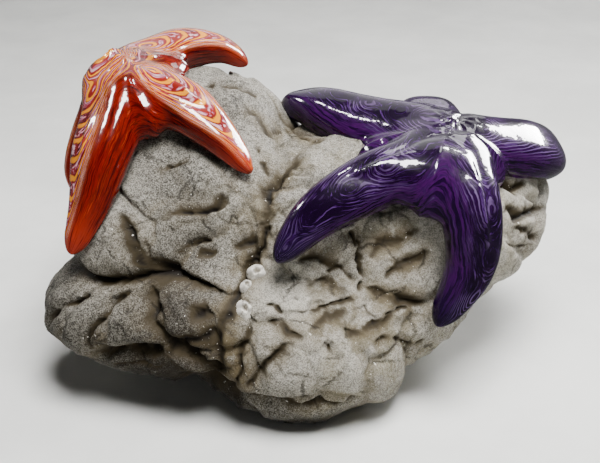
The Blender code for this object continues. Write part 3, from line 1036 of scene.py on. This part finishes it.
@dataclass
class Boulder:
    """The stone that both stars lie on. Lengths are in millimetres."""

    centre: Point = (0, 0, 85)
    half_sizes: Point = (175, 112, 100)
    lean: Point = (0, -42, 18)
    mass_blend: float = 6.0
    reach: float = 260.0
    block_size: float = 30.0
    swell: float = 4.6
    rise: float = 0.9
    tilt: float = 0.09
    step: float = 1.3
    back_blocks: int = 46
    back_size: float = 1.1
    back_rift: float = 6.0
    back_spacing: float = 44.0
    rifts_from: float = 15.0
    rifts_over: float = 25.0
    net_depth: float = 1.3
    body_height: float = 1.5
    ridge_height: float = 1.7
    width_waver: float = 0.45
    block_wavers: tuple[Point, ...] = ((34, 8, 1), (11, 2.2, 61))
    crack_wavers: tuple[Point, ...] = ((13, 2.2, 31), (4, 0.9, 47))
    net_wavers: tuple[Point, ...] = ((16, 5, 21),)
    ridge_wavers: tuple[Point, ...] = ((20, 6, 71),)
    warm_from: float = -60.0
    warm_over: float = 70.0
    lattice: int = 127

    def __post_init__(self) -> None:
        """Lay out the blocks and draw the cracks over the stone."""
        self.middle = np.array(self.centre) * MM
        self.blocks = np.array(list(FRONT_BLOCKS.values()) + self.spiral_blocks(), float)
        numbers = np.arange(len(self.blocks))[:, None].repeat(3, 1)
        self.slopes = np.stack([lattice_value(numbers, seed) for seed in (3, 7, 13)], 1) * 2 - 1
        self.steps = lattice_value(numbers, 17) * 2 - 1
        self.crack_paths = {crack.name: self.drawn(crack) for crack in CRACKS}

    def core(self, points: Array) -> Array:
        """Distance to the blended masses, negative inside."""
        fields = [ellipsoid_field(points, *mass) for mass in ROCK_MASSES.values()]
        return soft_union(fields, self.mass_blend * MM)

    def core_radius(self, directions: Array) -> Array:
        """Distance from the middle to the core's skin, by halving the range twenty times.

        Args:
            directions: Unit directions from the middle.

        Returns:
            The distances in metres.
        """
        low, high = np.zeros(len(directions)), np.full(len(directions), self.reach * MM)
        for _ in range(20):
            half = (low + high) / 2
            inside = self.core(self.middle + directions * half[:, None]) < 0
            low, high = np.where(inside, half, low), np.where(inside, high, half)
        return (low + high) / 2

    def on_core(self, directions: Array) -> Array:
        """The core's skin in each direction from the middle."""
        return self.middle + directions * self.core_radius(directions)[:, None]

    def spiral_blocks(self) -> list[tuple[float, ...]]:
        """Blocks at golden-angle steps round the stone, where no front block is near.

        Returns:
            Each block's middle in millimetres, relative size and rift.
        """
        front = np.array([block[:3] for block in FRONT_BLOCKS.values()]) * MM
        turn = np.arange(self.back_blocks)
        height = 1 - 2 * (turn + 0.5) / self.back_blocks
        level, angle = np.sqrt(1 - height**2), turn * GOLDEN_ANGLE
        seeds = self.on_core(np.stack([level * np.cos(angle), level * np.sin(angle), height], 1))
        apart = np.linalg.norm(seeds[:, None] - front[None], axis=-1).min(1)
        kept = seeds[apart > self.back_spacing * MM] / MM
        return [(*seed, self.back_size, self.back_rift) for seed in kept]

    def drawn(self, crack: Crack) -> Array:
        """A crack's route as a smooth line on the core's skin, with a point every 4 mm or so.

        Args:
            crack: The crack.

        Returns:
            The line's points.
        """
        knots = np.array(crack.route, float) * MM
        span = np.linalg.norm(np.diff(knots, axis=0), axis=1).sum()
        curve, _ = curve_through(knots, int(span / (4 * MM)) + 4)
        return self.on_core(unit(curve - self.middle))

    def outward(self, points: Array) -> Array:
        """Direction straight out of the core: the slope of its distance field over 2 mm."""
        slope = [self.core(points + axis) - self.core(points - axis) for axis in np.eye(3) * MM]
        return unit(np.stack(slope, 1))

    def cracks(self, points: Array) -> dict[str, Array]:
        """How deep the named cracks cut, how much painted shade darkens them, and how earthy they are.

        A crack's depth is its full depth times exp(-(1.3 d/w)^1.1), for the distance d to its line and its
        half width w, times 1 - (2t - 1)^4 along its length t. Its line and its width both waver with noise.

        Args:
            points: Places on the core's skin.

        Returns:
            Depth in metres, and dark (the painted shade in the crack) and earth from 0 to 1.
        """
        bent = wavered(points, self.crack_wavers)
        spread = 1 + self.width_waver * value_noise(points, 11 * MM, 83)
        depth, dark, earth = (np.zeros(len(points)) for _ in range(3))
        for crack in CRACKS:
            path, width = self.crack_paths[crack.name], crack.half_width * MM
            near = box_near(bent, path, 5 * width)
            place, squared = nearest_on_path(bent[near], path)
            share = place / (len(path) - 1)
            away = np.sqrt(squared) / (width * spread[near])
            fade = 1 - (2 * share - 1) ** 4
            cut = np.exp(-((1.3 * away) ** 1.1)) * fade
            depth[near] = np.maximum(depth[near], cut * crack.depth * MM)
            # Painted shade: the crack is drawn darker near its line, more for deeper cracks
            shadow = np.exp(-((away / 0.6) ** 1.4)) * fade * min(1, crack.depth / 5)
            dark[near] = np.maximum(dark[near], shadow)
            earth[near] = np.maximum(earth[near], np.exp(-((away / 2.2) ** 2)) * fade * crack.earth)
        return {"depth": depth, "dark": dark, "earth": earth}

    def relief(self, points: Array) -> dict[str, Array]:
        """What stands out of the core at each point, and how deep it lies in a crack.

        Height is a swelling 1 - exp(-(g/0.3)^1.5) for the distance g from the seam between two blocks, plus
        a small rise and each block's own step and tilt, less a rift exp(-(g/0.1)^1.2) along the seams at the
        back, the named cracks and a net of small cracks, plus fractal noise and sharp ridges 0.5 - |noise|.

        Args:
            points: Places on the core's skin.

        Returns:
            Height in metres, the painted shade of cracks and rifts, earth and block_tone from 0 to 1, and
            shade: painted light above 0 and painted shade below 0.
        """
        bent = wavered(points, self.block_wavers)
        offsets = bent[:, None] - self.blocks[None, :, :3] * MM
        nearness = np.linalg.norm(offsets, axis=-1) / (self.blocks[:, 3] * self.block_size * MM)
        order = np.argsort(nearness, 1)[:, :2]
        nearest = np.take_along_axis(nearness, order, 1)
        gap = nearest[:, 1] - nearest[:, 0]
        share = np.exp(-(nearness - nearest[:, :1]) / 0.05)
        share /= share.sum(1, keepdims=True)
        lean = (offsets * self.slopes[None]).sum(-1) * self.tilt + self.steps * self.step * MM
        swelling = self.swell * MM * (1 - np.exp(-((gap / 0.3) ** 1.5)))
        swelling += self.rise * MM + (share * lean).sum(1)
        behind = smooth_step((points[:, 1] / MM - self.rifts_from) / self.rifts_over)
        patchy = np.clip(fractal_noise(points, 40 * MM, 2, 93) * 1.4 + 0.6, 0, 1)
        rift = np.exp(-((gap / 0.10) ** 1.2)) * self.blocks[order, 4].mean(1) * MM * behind * patchy
        small_seam = cell_seams(wavered(points, self.net_wavers), 26 * MM, 3)
        small = np.exp(-((small_seam / 0.07) ** 1.2))
        small *= np.clip(fractal_noise(points, 45 * MM, 2, 77) * 1.6 + 0.15, 0, 1)
        body = fractal_noise(points, 26 * MM, 6, 40, 0.52)
        ridges = 0.5 - np.abs(fractal_noise(wavered(points, self.ridge_wavers), 17 * MM, 3, 51, 0.45))
        named = self.cracks(points)
        height = swelling - rift - named["depth"] - small * self.net_depth * MM
        height += body * self.body_height * MM + ridges * self.ridge_height * MM
        tones = lattice_value(np.arange(len(self.blocks))[:, None].repeat(3, 1), 5)
        return {
            "height": height,
            # Painted shade in the named cracks, the rifts and the net of small cracks
            "crevice_shade": np.clip(np.maximum(named["dark"], rift / (8 * MM)) + small * 0.25, 0, 1),
            "earth": np.clip(np.maximum(named["earth"], 0.5 * np.exp(-((gap / 0.16) ** 2)) * patchy), 0, 1),
            "block_tone": (share * tones).sum(1),
            # Painted light and shade: patches of paler and darker stone
            "shade": sum(amount * np.exp(-(((points / MM - centre) ** 2).sum(1) / radius**2))
                         for centre, radius, amount in PAINTED_LIGHT_AND_SHADE.values()),
        }

    def radius(self, directions: Array) -> Array:
        """Distance from the middle to the finished skin: the core plus its relief."""
        core = self.core_radius(directions)
        return core + self.relief(self.middle + directions * core[:, None])["height"]

    def build(self, finish: StoneFinish, grain: bpy.types.NodeTree) -> bpy.types.Object:
        """The stone's skin, cut off flat at the floor and held inside the CAD solid's box.

        Args:
            finish: The stone's look.
            grain: The shader group for its grain.

        Returns:
            The boulder's object.
        """
        directions, quads = cube_sphere(self.lattice, self.half_sizes, self.lean)
        core = self.core_radius(directions)
        points = self.middle + directions * core[:, None]
        relief = self.relief(points)
        to_floor = self.middle[2] / -np.minimum(directions[:, 2], -1e-9)
        reach = np.minimum(core + relief.pop("height"), to_floor)
        low, high = (np.array(corner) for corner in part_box("boulder"))
        vertices = np.clip(self.middle + directions * reach[:, None] + TO_ORIGIN, low, high)
        relief["warm_side"] = smooth_step((points[:, 0] / MM - self.warm_from) / self.warm_over)
        return make_object("boulder_skin", vertices, quads, finish.material(grain), relief)


@dataclass
class BarnacleCluster:
    """Three worn barnacles in the groove down the middle of the boulder."""

    # Middle in millimetres, base radius, height and turn of each
    shells: tuple[tuple[Point, float, float, float], ...] = (
        ((-28, -70, 102), 6.2, 4.4, 0.4),
        ((-35, -78, 96), 4.6, 3.4, 1.7),
        ((-36, -91, 86), 6.6, 4.4, 2.9),
    )
    plates: int = 6
    sides: int = 72

    def shell_rings(self, boulder: Boulder, spot: Point, radius: float, height: float, turn: float) -> Array:
        """One barnacle: a ribbed cone with an open top and a dished inside.

        Rings follow a profile of radius and height from under the base, up the wall, over the rim and down
        inside. The radius waves with the plates' seams and fine ribs, and the rim's height with its teeth.

        Args:
            boulder: What it stands on.
            spot: Its middle in millimetres.
            radius: Its base radius in millimetres.
            height: Its height in millimetres.
            turn: Its turn about its own axis, in radians.

        Returns:
            Points, as ring by place on the ring by axis.
        """
        direction = unit(np.array([spot]) * MM - boulder.middle)
        base = (boulder.middle + direction * boulder.radius(direction)[:, None])[0]
        up = boulder.outward(base[None])[0]
        side = unit(np.cross(up, (0.0, 0.3, 1.0)))
        other = np.cross(up, side)
        profile = np.array([(1.04, -0.5), (1.0, 0.0), (0.86, 0.28), (0.68, 0.62), (0.50, 0.94), (0.42, 1.0),
                            (0.36, 0.93), (0.31, 0.65), (0.25, 0.35), (0.13, 0.2), (0.03, 0.2)])
        angle = np.arange(self.sides) / self.sides * 2 * np.pi
        seams = np.abs(np.sin(angle * self.plates / 2 + turn)) ** 0.35
        wall = (1 - np.abs(profile[:, 1] - 0.45))[:, None].clip(0, 1)
        wave = 1 + wall * (0.16 * (seams - 0.8) + 0.03 * np.cos(angle * 24)) + 0.10 * np.cos(angle * 2 + turn)
        reach = profile[:, :1] * wave * radius * MM
        teeth = 1 + 0.22 * np.cos(angle * 3 + 2 * turn) * (profile[:, 1:] > 0.5)
        lift = profile[:, 1:] * teeth * height * MM
        spin = angle + turn
        flat = np.cos(spin)[:, None] * side + np.sin(spin)[:, None] * other
        return base + reach[..., None] * flat + lift[..., None] * up

    def build(self, boulder: Boulder, finish: "ShellFinish", grain: bpy.types.NodeTree) -> bpy.types.Object:
        """All the shells in one piece.

        Args:
            boulder: What they stand on.
            finish: Their look.
            grain: The shader group for their grain.

        Returns:
            The cluster's object.
        """
        vertices, faces = join_tubes([self.shell_rings(boulder, *shell) for shell in self.shells])
        return make_object("barnacle_shells", vertices + TO_ORIGIN, faces, finish.material(grain))


# ---------------------------------------------------------------- the stars


@dataclass
class Arm:
    """One arm: a rounded-square section carried along its route over the boulder.

    `turn` leans the section to its side and `drift` slides the pattern round it, both in quarter turns that
    come in from the disc outwards.
    """

    knots: Array
    widths: Array
    heights: Array
    squareness: float
    up: Array
    boulder: Boulder
    turn: float = 0.0
    drift: float = 0.0
    samples: int = 61
    rounding_from: float = 0.90

    def __post_init__(self) -> None:
        """Work out the route and the frame that the section is carried in."""
        self.route, self.length = curve_through(self.knots * MM, self.samples)
        self.along = unit(np.gradient(self.route, axis=0))
        share = np.linspace(0, 1, self.samples)
        out = self.boulder.outward(self.route)
        for _ in range(12):
            out[1:-1] = (out[:-2] + 2 * out[1:-1] + out[2:]) / 4
        mix = smooth_step(share / 0.3)[:, None]
        out = self.up * (1 - mix) + out * mix
        self.lift = unit(out - (out * self.along).sum(1, keepdims=True) * self.along)
        level = np.cross(self.lift, self.along)
        turned = (self.turn * np.pi / 2 * smooth_step(share / 0.3))[:, None]
        self.out = self.lift * np.cos(turned) + level * np.sin(turned)
        self.side = level * np.cos(turned) - self.lift * np.sin(turned)
        self.width, self.height = (self.taper(share, stations) for stations in (self.widths, self.heights))

    @staticmethod
    def taper(share: Array, stations: Array) -> Array:
        """Sizes along the arm, on a smooth curve through even stations."""
        curve, _ = curve_through(np.stack([np.linspace(0, 1, len(stations)), stations], 1), 200)
        return np.interp(share, curve[:, 0], curve[:, 1]) * MM

    def at(self, place: Array, values: Array) -> Array:
        """Values read between two samples of the route, by straight mixing.

        Args:
            place: Fractional sample numbers.
            values: A value, or a row of them, for each sample.

        Returns:
            The values at those places.
        """
        low = np.minimum(np.asarray(place).astype(int), self.samples - 2)
        mix = place - low
        mix = mix[:, None] if values.ndim > 1 else mix
        return values[low] * (1 - mix) + values[low + 1] * mix

    def rings(self, count: int, sides: int) -> Array:
        """Sections from disc to tip: |cos|^p by |sin|^p ovals, closing as a quarter ellipse at the tip.

        Args:
            count: How many rings.
            sides: Points on each ring.

        Returns:
            Points, as ring by place on the ring by axis.
        """
        closing = (1 - self.rounding_from) * np.sin(np.linspace(0.1, 1, 10) * np.pi / 2)
        shares = np.r_[np.linspace(0, self.rounding_from, count), self.rounding_from + closing]
        turn = np.arange(sides) / sides * 2 * np.pi
        place = shares * (self.samples - 1)
        side, out = (unit(self.at(place, axis))[:, None] for axis in (self.side, self.out))
        past = np.clip((shares - self.rounding_from) / (1 - self.rounding_from), 0, 1)
        rounding = np.sqrt(1 - past**2)
        power = 2 / self.squareness
        across, lift = (np.sign(wave) * np.abs(wave) ** power * (self.at(place, size) * rounding)[:, None]
                        for wave, size in ((np.cos(turn), self.width), (np.sin(turn), self.height)))
        return self.at(place, self.route)[:, None] + across[..., None] * side + lift[..., None] * out

    def locate(self, points: Array) -> tuple[Array, Array, Array]:
        """Where points lie on this arm.

        Args:
            points: Places in metres.

        Returns:
            Run along the arm in millimetres, signed angle round it from the middle of its top (1 for a
            quarter turn), and nearly the distance to its skin.
        """
        place, _ = nearest_on_path(points, self.route)
        offset = points - self.at(place, self.route)
        parts = ((self.side, self.width), (self.out, self.height), (self.along, self.width))
        across, lift, past = ((offset * self.at(place, axis)).sum(1) / self.at(place, size)
                              for axis, size in parts)
        run = place / (self.samples - 1) * self.length / MM
        angle = np.arctan2(across, lift) / (np.pi / 2) - self.drift * smooth_step((run - 8) / 30)
        power = self.squareness
        reach = (np.abs(across) ** power + np.abs(lift) ** power + np.abs(past) ** power) ** (1 / power)
        return run, angle, (reach - 1) * 12 * MM


@dataclass
class Star:
    """A glass sea star: five arms, a hub and the webs between neighbouring arms, melted into one skin.

    Lengths are in millimetres. Each web has its reach from the disc, half thickness and rise over the arms.
    """

    name: str
    slot: str
    nodes: tuple[str, ...]
    disc: Point
    hub: Point
    routes: dict[str, tuple[Point, ...]]
    half_width: tuple[float, ...]
    half_height: tuple[float, ...]
    squareness: float
    webs: dict[tuple[str, str], tuple[float, float, float]]
    finish: GlassFinish
    girth: dict[str, float] = field(default_factory=dict)
    turns: dict[str, float] = field(default_factory=dict)
    drifts: dict[str, float] = field(default_factory=dict)
    fillet: float = 14.0
    knot: float = 1.6
    knot_spread: float = 3.2
    knot_shift: Point = (0, 0, 0)
    folds: int = 11
    fold_height: float = 0.8
    fold_reach: float = 13.0
    tube_rings: int = 40
    tube_sides: int = 36
    web_sections: int = 16
    web_sides: int = 28
    voxel: float = 1.2
    melt: int = 24
    bed: float = 1.0
    blend: float = 2.5
    tip_from: float = 0.72

    def arms(self, boulder: Boulder) -> dict[str, Arm]:
        """Each arm on its route.

        Args:
            boulder: What it lies on.

        Returns:
            The arms by name.
        """
        up = boulder.outward(np.array([self.disc]) * MM)[0]
        made = {}
        for name, route in self.routes.items():
            girth = self.girth.get(name, 1.0)
            sizes = [np.array(stations) * girth for stations in (self.half_width, self.half_height)]
            knots = np.array([self.disc, *route], float)
            made[name] = Arm(knots, *sizes, self.squareness, up, boulder,
                             self.turns.get(name, 0.0), self.drifts.get(name, 0.0))
        return made

    def web_rings(self, first: Arm, second: Arm, reach: float, thickness: float, raised: float) -> Array:
        """A web's sections, from the middle of one arm to the middle of the next.

        Each section's middle line runs out from the disc, mixed from both arms' routes, and its free edge is
        arched: the reach grows by an eighth of the square of the distance from the middle.

        Args:
            first: The arm that the web starts from.
            second: The arm that it ends on.
            reach: Its reach from the disc at its middle, in millimetres.
            thickness: Its half thickness in millimetres.
            raised: How far its middle lies over the arms' routes, in millimetres.

        Returns:
            Points, as ring by place on the ring by axis.
        """
        turn = np.arange(self.web_sides) / self.web_sides * 2 * np.pi
        rings = []
        for share in np.linspace(-0.08, 1.08, self.web_sections):
            edge = reach * MM * (1 + 0.12 * (2 * share - 1) ** 2)
            travel = edge * (0.15 + 0.85 * (1 + np.cos(turn)) / 2)
            spots = [(arm, travel / arm.length * (arm.samples - 1), mix) for arm, mix in
                     ((first, 1 - share), (second, share))]
            middle = sum(arm.at(place, arm.route) * mix for arm, place, mix in spots)
            out = unit(sum(arm.at(place, arm.lift) * mix for arm, place, mix in spots))
            rings.append(middle + out * (np.sin(turn)[:, None] * thickness + raised) * MM)
        return np.stack(rings)

    def hub_rings(self) -> Array:
        """The hub's ellipsoid, from sines and cosines of tilt and turn, as level rings from pole to pole.

        Returns:
            Points, as ring by place on the ring by axis.
        """
        tilts, turns = np.linspace(0.02, np.pi - 0.02, 24), np.arange(32) / 32 * 2 * np.pi
        tilt, turn = np.meshgrid(tilts, turns, indexing="ij")
        ball = np.stack([np.sin(tilt) * np.cos(turn), np.sin(tilt) * np.sin(turn), np.cos(tilt)], -1)
        return np.array(self.disc) * MM + ball * np.array(self.hub) * MM

    def melted(self, arms: dict[str, Arm]) -> tuple[Array, Array]:
        """All tubes and webs remade as one even skin and relaxed, so that they flow into one another.

        Args:
            arms: The star's arms.

        Returns:
            Vertices and quads.
        """
        tubes = [arm.rings(self.tube_rings, self.tube_sides) for arm in arms.values()] + [self.hub_rings()]
        tubes += [self.web_rings(arms[a], arms[b], *sizes) for (a, b), sizes in self.webs.items()]
        rough = make_object(f"{self.name}_tubes", *join_tubes(tubes))
        remesh = rough.modifiers.new("melt", "REMESH")
        remesh.mode, remesh.voxel_size = "VOXEL", self.voxel * MM
        relax = rough.modifiers.new("relax", "SMOOTH")
        relax.factor, relax.iterations = 0.5, self.melt
        depsgraph = bpy.context.evaluated_depsgraph_get()
        mesh = bpy.data.meshes.new_from_object(rough.evaluated_get(depsgraph))
        corners = np.empty(len(mesh.loops), int)
        mesh.loops.foreach_get("vertex_index", corners)
        points = read_vertices(mesh)
        bpy.data.objects.remove(rough, do_unlink=True)
        return points, corners.reshape(-1, 4)

    def filleted(self, points: Array, quads: Array, arms: dict[str, Arm]) -> Array:
        """Fill the creases where two arms meet.

        The skin is raised by (k - g)^2/4k where the gap g between the distances to the two nearest arms is
        less than the fillet's width k.

        Args:
            points: The skin's vertices.
            quads: Its faces.
            arms: The star's arms.

        Returns:
            The vertices, moved out along their normals.
        """
        fields = np.sort(np.stack([arm.locate(points)[2] for arm in arms.values()]), 0)
        width = self.fillet * MM
        raised = np.clip(width - (fields[1] - fields[0]), 0, None) ** 2 / (4 * width)
        normals = face_slopes(points, quads)
        return points + normals * raised[:, None]

    def knotted(self, points: Array, arms: dict[str, Arm]) -> Array:
        """Pinch and twist the glass where its threads gather at the middle of the disc.

        Round the knot, folds cos(na + r/2) stand out by nearly a millimetre, fading as exp(-(r/f)^2), and the
        middle rises to a point as exp(-(r/s)^1.4), for the angle a, the reach r and the n, f and s of the
        fields folds, fold_reach and knot_spread.

        Args:
            points: Places in metres.
            arms: The star's arms.

        Returns:
            The places moved along the disc's axis.
        """
        up = unit(next(iter(arms.values())).up + np.array((0.0, 0.0, 1.0)))
        offset = points - (np.array(self.disc) + np.array(self.knot_shift)) * MM
        lift = offset @ up
        flat = offset - lift[:, None] * up
        side = unit(np.cross(up, (0.0, 1.0, 0.0)))
        angle = np.arctan2(flat @ np.cross(up, side), flat @ side)
        reach = np.linalg.norm(flat, axis=1) / MM
        fade = np.exp(-((reach / self.fold_reach) ** 2)) * np.clip(reach / 3, 0, 1)
        folds = self.fold_height * np.cos(self.folds * angle + reach / 2) * fade
        nub = self.knot * np.exp(-((reach / self.knot_spread) ** 1.4))
        return points + ((folds + nub) * MM * (lift > 0))[:, None] * up

    def settle(self, points: Array, boulder: Boulder) -> Array:
        """Raise what lies deep in the boulder to just under its skin, along the line from its middle.

        Args:
            points: Places in metres.
            boulder: What the star lies on.

        Returns:
            The places, with the deep ones raised.
        """
        offset = points - boulder.middle
        distance = np.linalg.norm(offset, axis=1)
        skin = boulder.radius(offset / distance[:, None]) - self.bed * MM
        return boulder.middle + offset * (np.maximum(distance, skin) / distance)[:, None]

    def build(self, boulder: Boulder, comb: bpy.types.NodeTree) -> bpy.types.Object:
        """The star's skin, with where each vertex lies on its arm.

        Args:
            boulder: What it lies on.
            comb: The shader group for its threads.

        Returns:
            The star's object.
        """
        arms = self.arms(boulder)
        points, quads = self.melted(arms)
        points = self.filleted(points, quads, arms)
        located = [arm.locate(points) for arm in arms.values()]
        runs, angles, fields = (np.stack([part[k] for part in located]) for k in range(3))
        weight = np.exp(-(fields - fields.min(0)) / (self.blend * MM))
        weight /= weight.sum(0)
        lengths = np.array([arm.length for arm in arms.values()])[:, None] / MM
        placed = {
            "run": (runs * weight).sum(0),
            "around": (np.abs(angles) * weight).sum(0),
            "sway": (angles * weight * smooth_step((runs - 25) / 30)).sum(0),
            "tip": (smooth_step((runs / lengths - self.tip_from) / (1 - self.tip_from)) * weight).sum(0),
        }
        low, high = (np.array(corner) for corner in CAD_BOX)
        settled = self.settle(self.knotted(points, arms), boulder) + TO_ORIGIN
        return make_object(self.name, np.clip(settled, low, high), quads, self.finish.material(comb), placed)


VIOLET_STAR = Star(
    name="violet_star_skin",
    slot="violet_glass",
    nodes=("violet_star_disc", "violet_star_arm_left_back", "violet_star_arm_left_front",
           "violet_star_arm_front", "violet_star_arm_right", "violet_star_arm_back"),
    disc=(101, -8, 166),
    hub=(22, 22, 15),
    routes={
        "left_back": ((72, 8, 165), (38, 26, 168), (8, 43, 174), (-14, 53, 171)),
        "left_front": ((74, -34, 162), (44, -51, 157), (10, -68, 142), (-16, -82, 116)),
        "front": ((105, -38, 160), (109, -64, 141), (109, -73, 107), (88, -87, 71)),
        "right": ((130, -8, 164), (158, 2, 158), (175, 28, 142), (165, 58, 114)),
        "back": ((97, 15, 165), (93, 44, 167), (88, 70, 151), (82, 88, 110)),
    },
    half_width=(17, 19.5, 19, 15, 7),
    half_height=(14, 14.5, 13.5, 11.5, 6.5),
    squareness=2.7,
    webs={
        ("left_back", "left_front"): (72, 11, 0),
        ("left_front", "front"): (78, 15, 3),
        ("front", "right"): (60, 14, -1),
        ("right", "back"): (34, 12, -4),
        ("back", "left_back"): (48, 12, -4),
    },
    finish=VIOLET_GLASS,
    girth={"left_back": 1.25, "right": 1.1},
    turns={"left_back": 0.25},
    drifts={"front": 0.28, "left_back": -0.2},
)
AMBER_STAR = Star(
    name="amber_star_skin",
    slot="amber_glass",
    nodes=("amber_star",),
    disc=(-127, 30, 198),
    hub=(19, 19, 15),
    routes={
        "front": ((-125, 2, 186), (-131, -27, 165), (-138, -47, 138), (-150, -62, 110)),
        "right": ((-103, 13, 197), (-77, -3, 191), (-53, -21, 177), (-31, -37, 157)),
        "back_right": ((-110, 54, 201), (-84, 69, 209), (-58, 77, 206), (-38, 76, 194)),
        "back": ((-131, 60, 190), (-129, 82, 170), (-126, 94, 142), (-122, 96, 118)),
        "left": ((-137, 36, 181), (-151, 32, 157), (-161, 24, 133), (-158, 16, 114)),
    },
    half_width=(17, 19, 17.5, 11.5, 4.5),
    half_height=(13, 13.5, 12.5, 9.5, 5),
    squareness=3.6,
    webs={
        ("front", "right"): (70, 14, 3),
        ("right", "back_right"): (62, 9, 4),
        ("back_right", "back"): (40, 11, -4),
        ("back", "left"): (32, 10, -4),
        ("left", "front"): (40, 11, -2),
    },
    finish=AMBER_GLASS,
    girth={"front": 1.18},
    turns={"front": -0.1, "right": 0.15, "back_right": -0.35},
    drifts={"front": -0.28},
    knot=5.5,
    knot_spread=6.0,
    knot_shift=(5, 0, 0),
)


# ---------------------------------------------------------------- the studio


class LightRole(Enum):
    """What a light does: light the surfaces, or only show as a highlight in glossy ones."""

    FILL = "fill"
    HIGHLIGHT = "highlight"


@dataclass(frozen=True)
class SoftLight:
    """A rectangular soft light: its place and size in metres, its power in watts, and what it does."""

    name: str
    place: Point
    size: tuple[float, float]
    power: float
    role: LightRole
    aim: Point = (0.0, 0.0, 0.12)

    def build(self) -> None:
        """Add the light, turned to the sculpture and out of the camera's sight."""
        light = bpy.data.lights.new(self.name, "AREA")
        light.shape = "RECTANGLE"
        light.size, light.size_y = self.size
        light.energy = self.power
        lamp = bpy.data.objects.new(self.name, light)
        lamp.location = self.place
        lamp.rotation_euler = (Vector(self.aim) - Vector(self.place)).to_track_quat("-Z", "Y").to_euler()
        lamp.visible_glossy = self.role is LightRole.HIGHLIGHT
        lamp.visible_diffuse = self.role is LightRole.FILL
        lamp.visible_camera = False
        bpy.context.collection.objects.link(lamp)


LIGHTS = (
    SoftLight("overhead_panel", (0.18, -0.26, 1.35), (0.60, 0.60), 50.0, LightRole.FILL),
    SoftLight("side_panel", (1.10, 0.60, 1.10), (0.60, 0.60), 18.0, LightRole.FILL),
    SoftLight("near_softbox", (0.13, -0.14, 1.1), (0.22, 0.38), 39.0, LightRole.HIGHLIGHT),
    SoftLight("far_softbox", (1.28, 0.96, 1.1), (0.66, 0.80), 250.0, LightRole.HIGHLIGHT),
    SoftLight("left_softbox", (-1.05, 0.26, 1.1), (0.22, 0.22), 22.0, LightRole.HIGHLIGHT),
    SoftLight("small_softbox", (-0.20, 0.28, 1.1), (0.06, 0.10), 2.8, LightRole.HIGHLIGHT),
    SoftLight("veil_softbox", (0.34, 0.60, 1.1), (0.30, 0.36), 4.0, LightRole.HIGHLIGHT),
    SoftLight("back_sheet", (-0.05, 1.10, 0.9), (1.30, 1.10), 6.3, LightRole.HIGHLIGHT),
)


@dataclass
class Studio:
    """A pale floor under soft light, and the camera. The target and distance are in millimetres."""

    target: Point = (-5.8, 7.1, 95)
    distance: float = 660.0
    elevation: float = 28.0
    lens: float = 55.0
    sensor_width: float = 36.0
    floor_reach: float = 4.0
    floor_colour: Point = (0.80, 0.80, 0.77)
    mottle: float = 0.88
    sky: Point = (0.86, 0.87, 0.88)
    zenith: Point = (0.10, 0.10, 0.11)
    sky_strength: float = 0.17

    def build_floor(self) -> bpy.types.Object:
        """A wide level floor with a faint mottle, left out of what glossy surfaces reflect.

        Returns:
            The floor's object.
        """
        material, graph, shader = new_material("pale_floor")
        mottle = graph.ease(graph.noise(graph.place(), 7.0, 4.0, 0.6), 0.3, 0.7)
        low = tuple(self.mottle * channel for channel in self.floor_colour)
        graph.feed(shader.inputs["Base Color"], graph.mix(mottle, low, self.floor_colour))
        shader.inputs["Specular IOR Level"].default_value = 0.0
        shader.inputs["Roughness"].default_value = 0.85
        corners = np.array([(-1, -1, 0), (1, -1, 0), (1, 1, 0), (-1, 1, 0)]) * self.floor_reach
        floor = make_object("floor", corners, [[0, 1, 2, 3]], material)
        floor.visible_glossy = False
        return floor

    def build_lights(self) -> None:
        """The lights, and a sky that darkens upwards."""
        for light in LIGHTS:
            light.build()
        world = bpy.data.worlds.new("studio")
        bpy.context.scene.world = world
        world.use_nodes = True
        graph = NodeGraph(world.node_tree)
        background = world.node_tree.nodes["Background"]
        direction = graph.add("SeparateXYZ", {0: graph.add("TexCoord").outputs["Generated"]})
        height = graph.ease(direction.outputs["Z"], 0.05, 0.75)
        graph.feed(background.inputs["Color"], graph.mix(height, self.sky, self.zenith))
        background.inputs["Strength"].default_value = self.sky_strength

    def build_camera(self) -> bpy.types.Object:
        """The camera, in front of its target and above it, looking towards +Y and down.

        Returns:
            The camera's object.
        """
        camera = bpy.data.cameras.new("camera")
        camera.lens, camera.sensor_width = self.lens, self.sensor_width
        camera.clip_start, camera.clip_end = 0.01, 20.0
        lift = np.radians(self.elevation)
        target = Vector(self.target) * MM
        back = Vector((0.0, -np.cos(lift), np.sin(lift)))
        holder = bpy.data.objects.new("camera", camera)
        holder.location = target + back * self.distance * MM
        holder.rotation_euler = (-back).to_track_quat("-Z", "Y").to_euler()
        bpy.context.collection.objects.link(holder)
        bpy.context.scene.camera = holder
        return holder


def adopt(piece: bpy.types.Object, nodes: Sequence[str] = ()) -> None:
    """Fix a piece to the sculpture, and let it stand for its nodes.

    Args:
        piece: The finished piece.
        nodes: The CAD nodes that it replaces.
    """
    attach(piece, BODY)
    if nodes:
        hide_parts(*nodes)
    log.info("%s: %d vertices", piece.name, len(piece.data.vertices))


def main() -> None:
    """Build the sculpture piece by piece, then the studio round it."""
    logging.basicConfig(level=logging.INFO, format="%(message)s")
    studio = Studio()
    studio.build_camera()
    grain, comb = build_grain_group(), build_comb_group()
    boulder = Boulder()
    adopt(boulder.build(StoneFinish(), grain), ("boulder",))
    adopt(BarnacleCluster().build(boulder, ShellFinish(), grain))
    for star in (VIOLET_STAR, AMBER_STAR):
        adopt(star.build(boulder, comb), star.nodes)
    studio.build_floor()
    studio.build_lights()


if __name__ == "__main__":
    main()
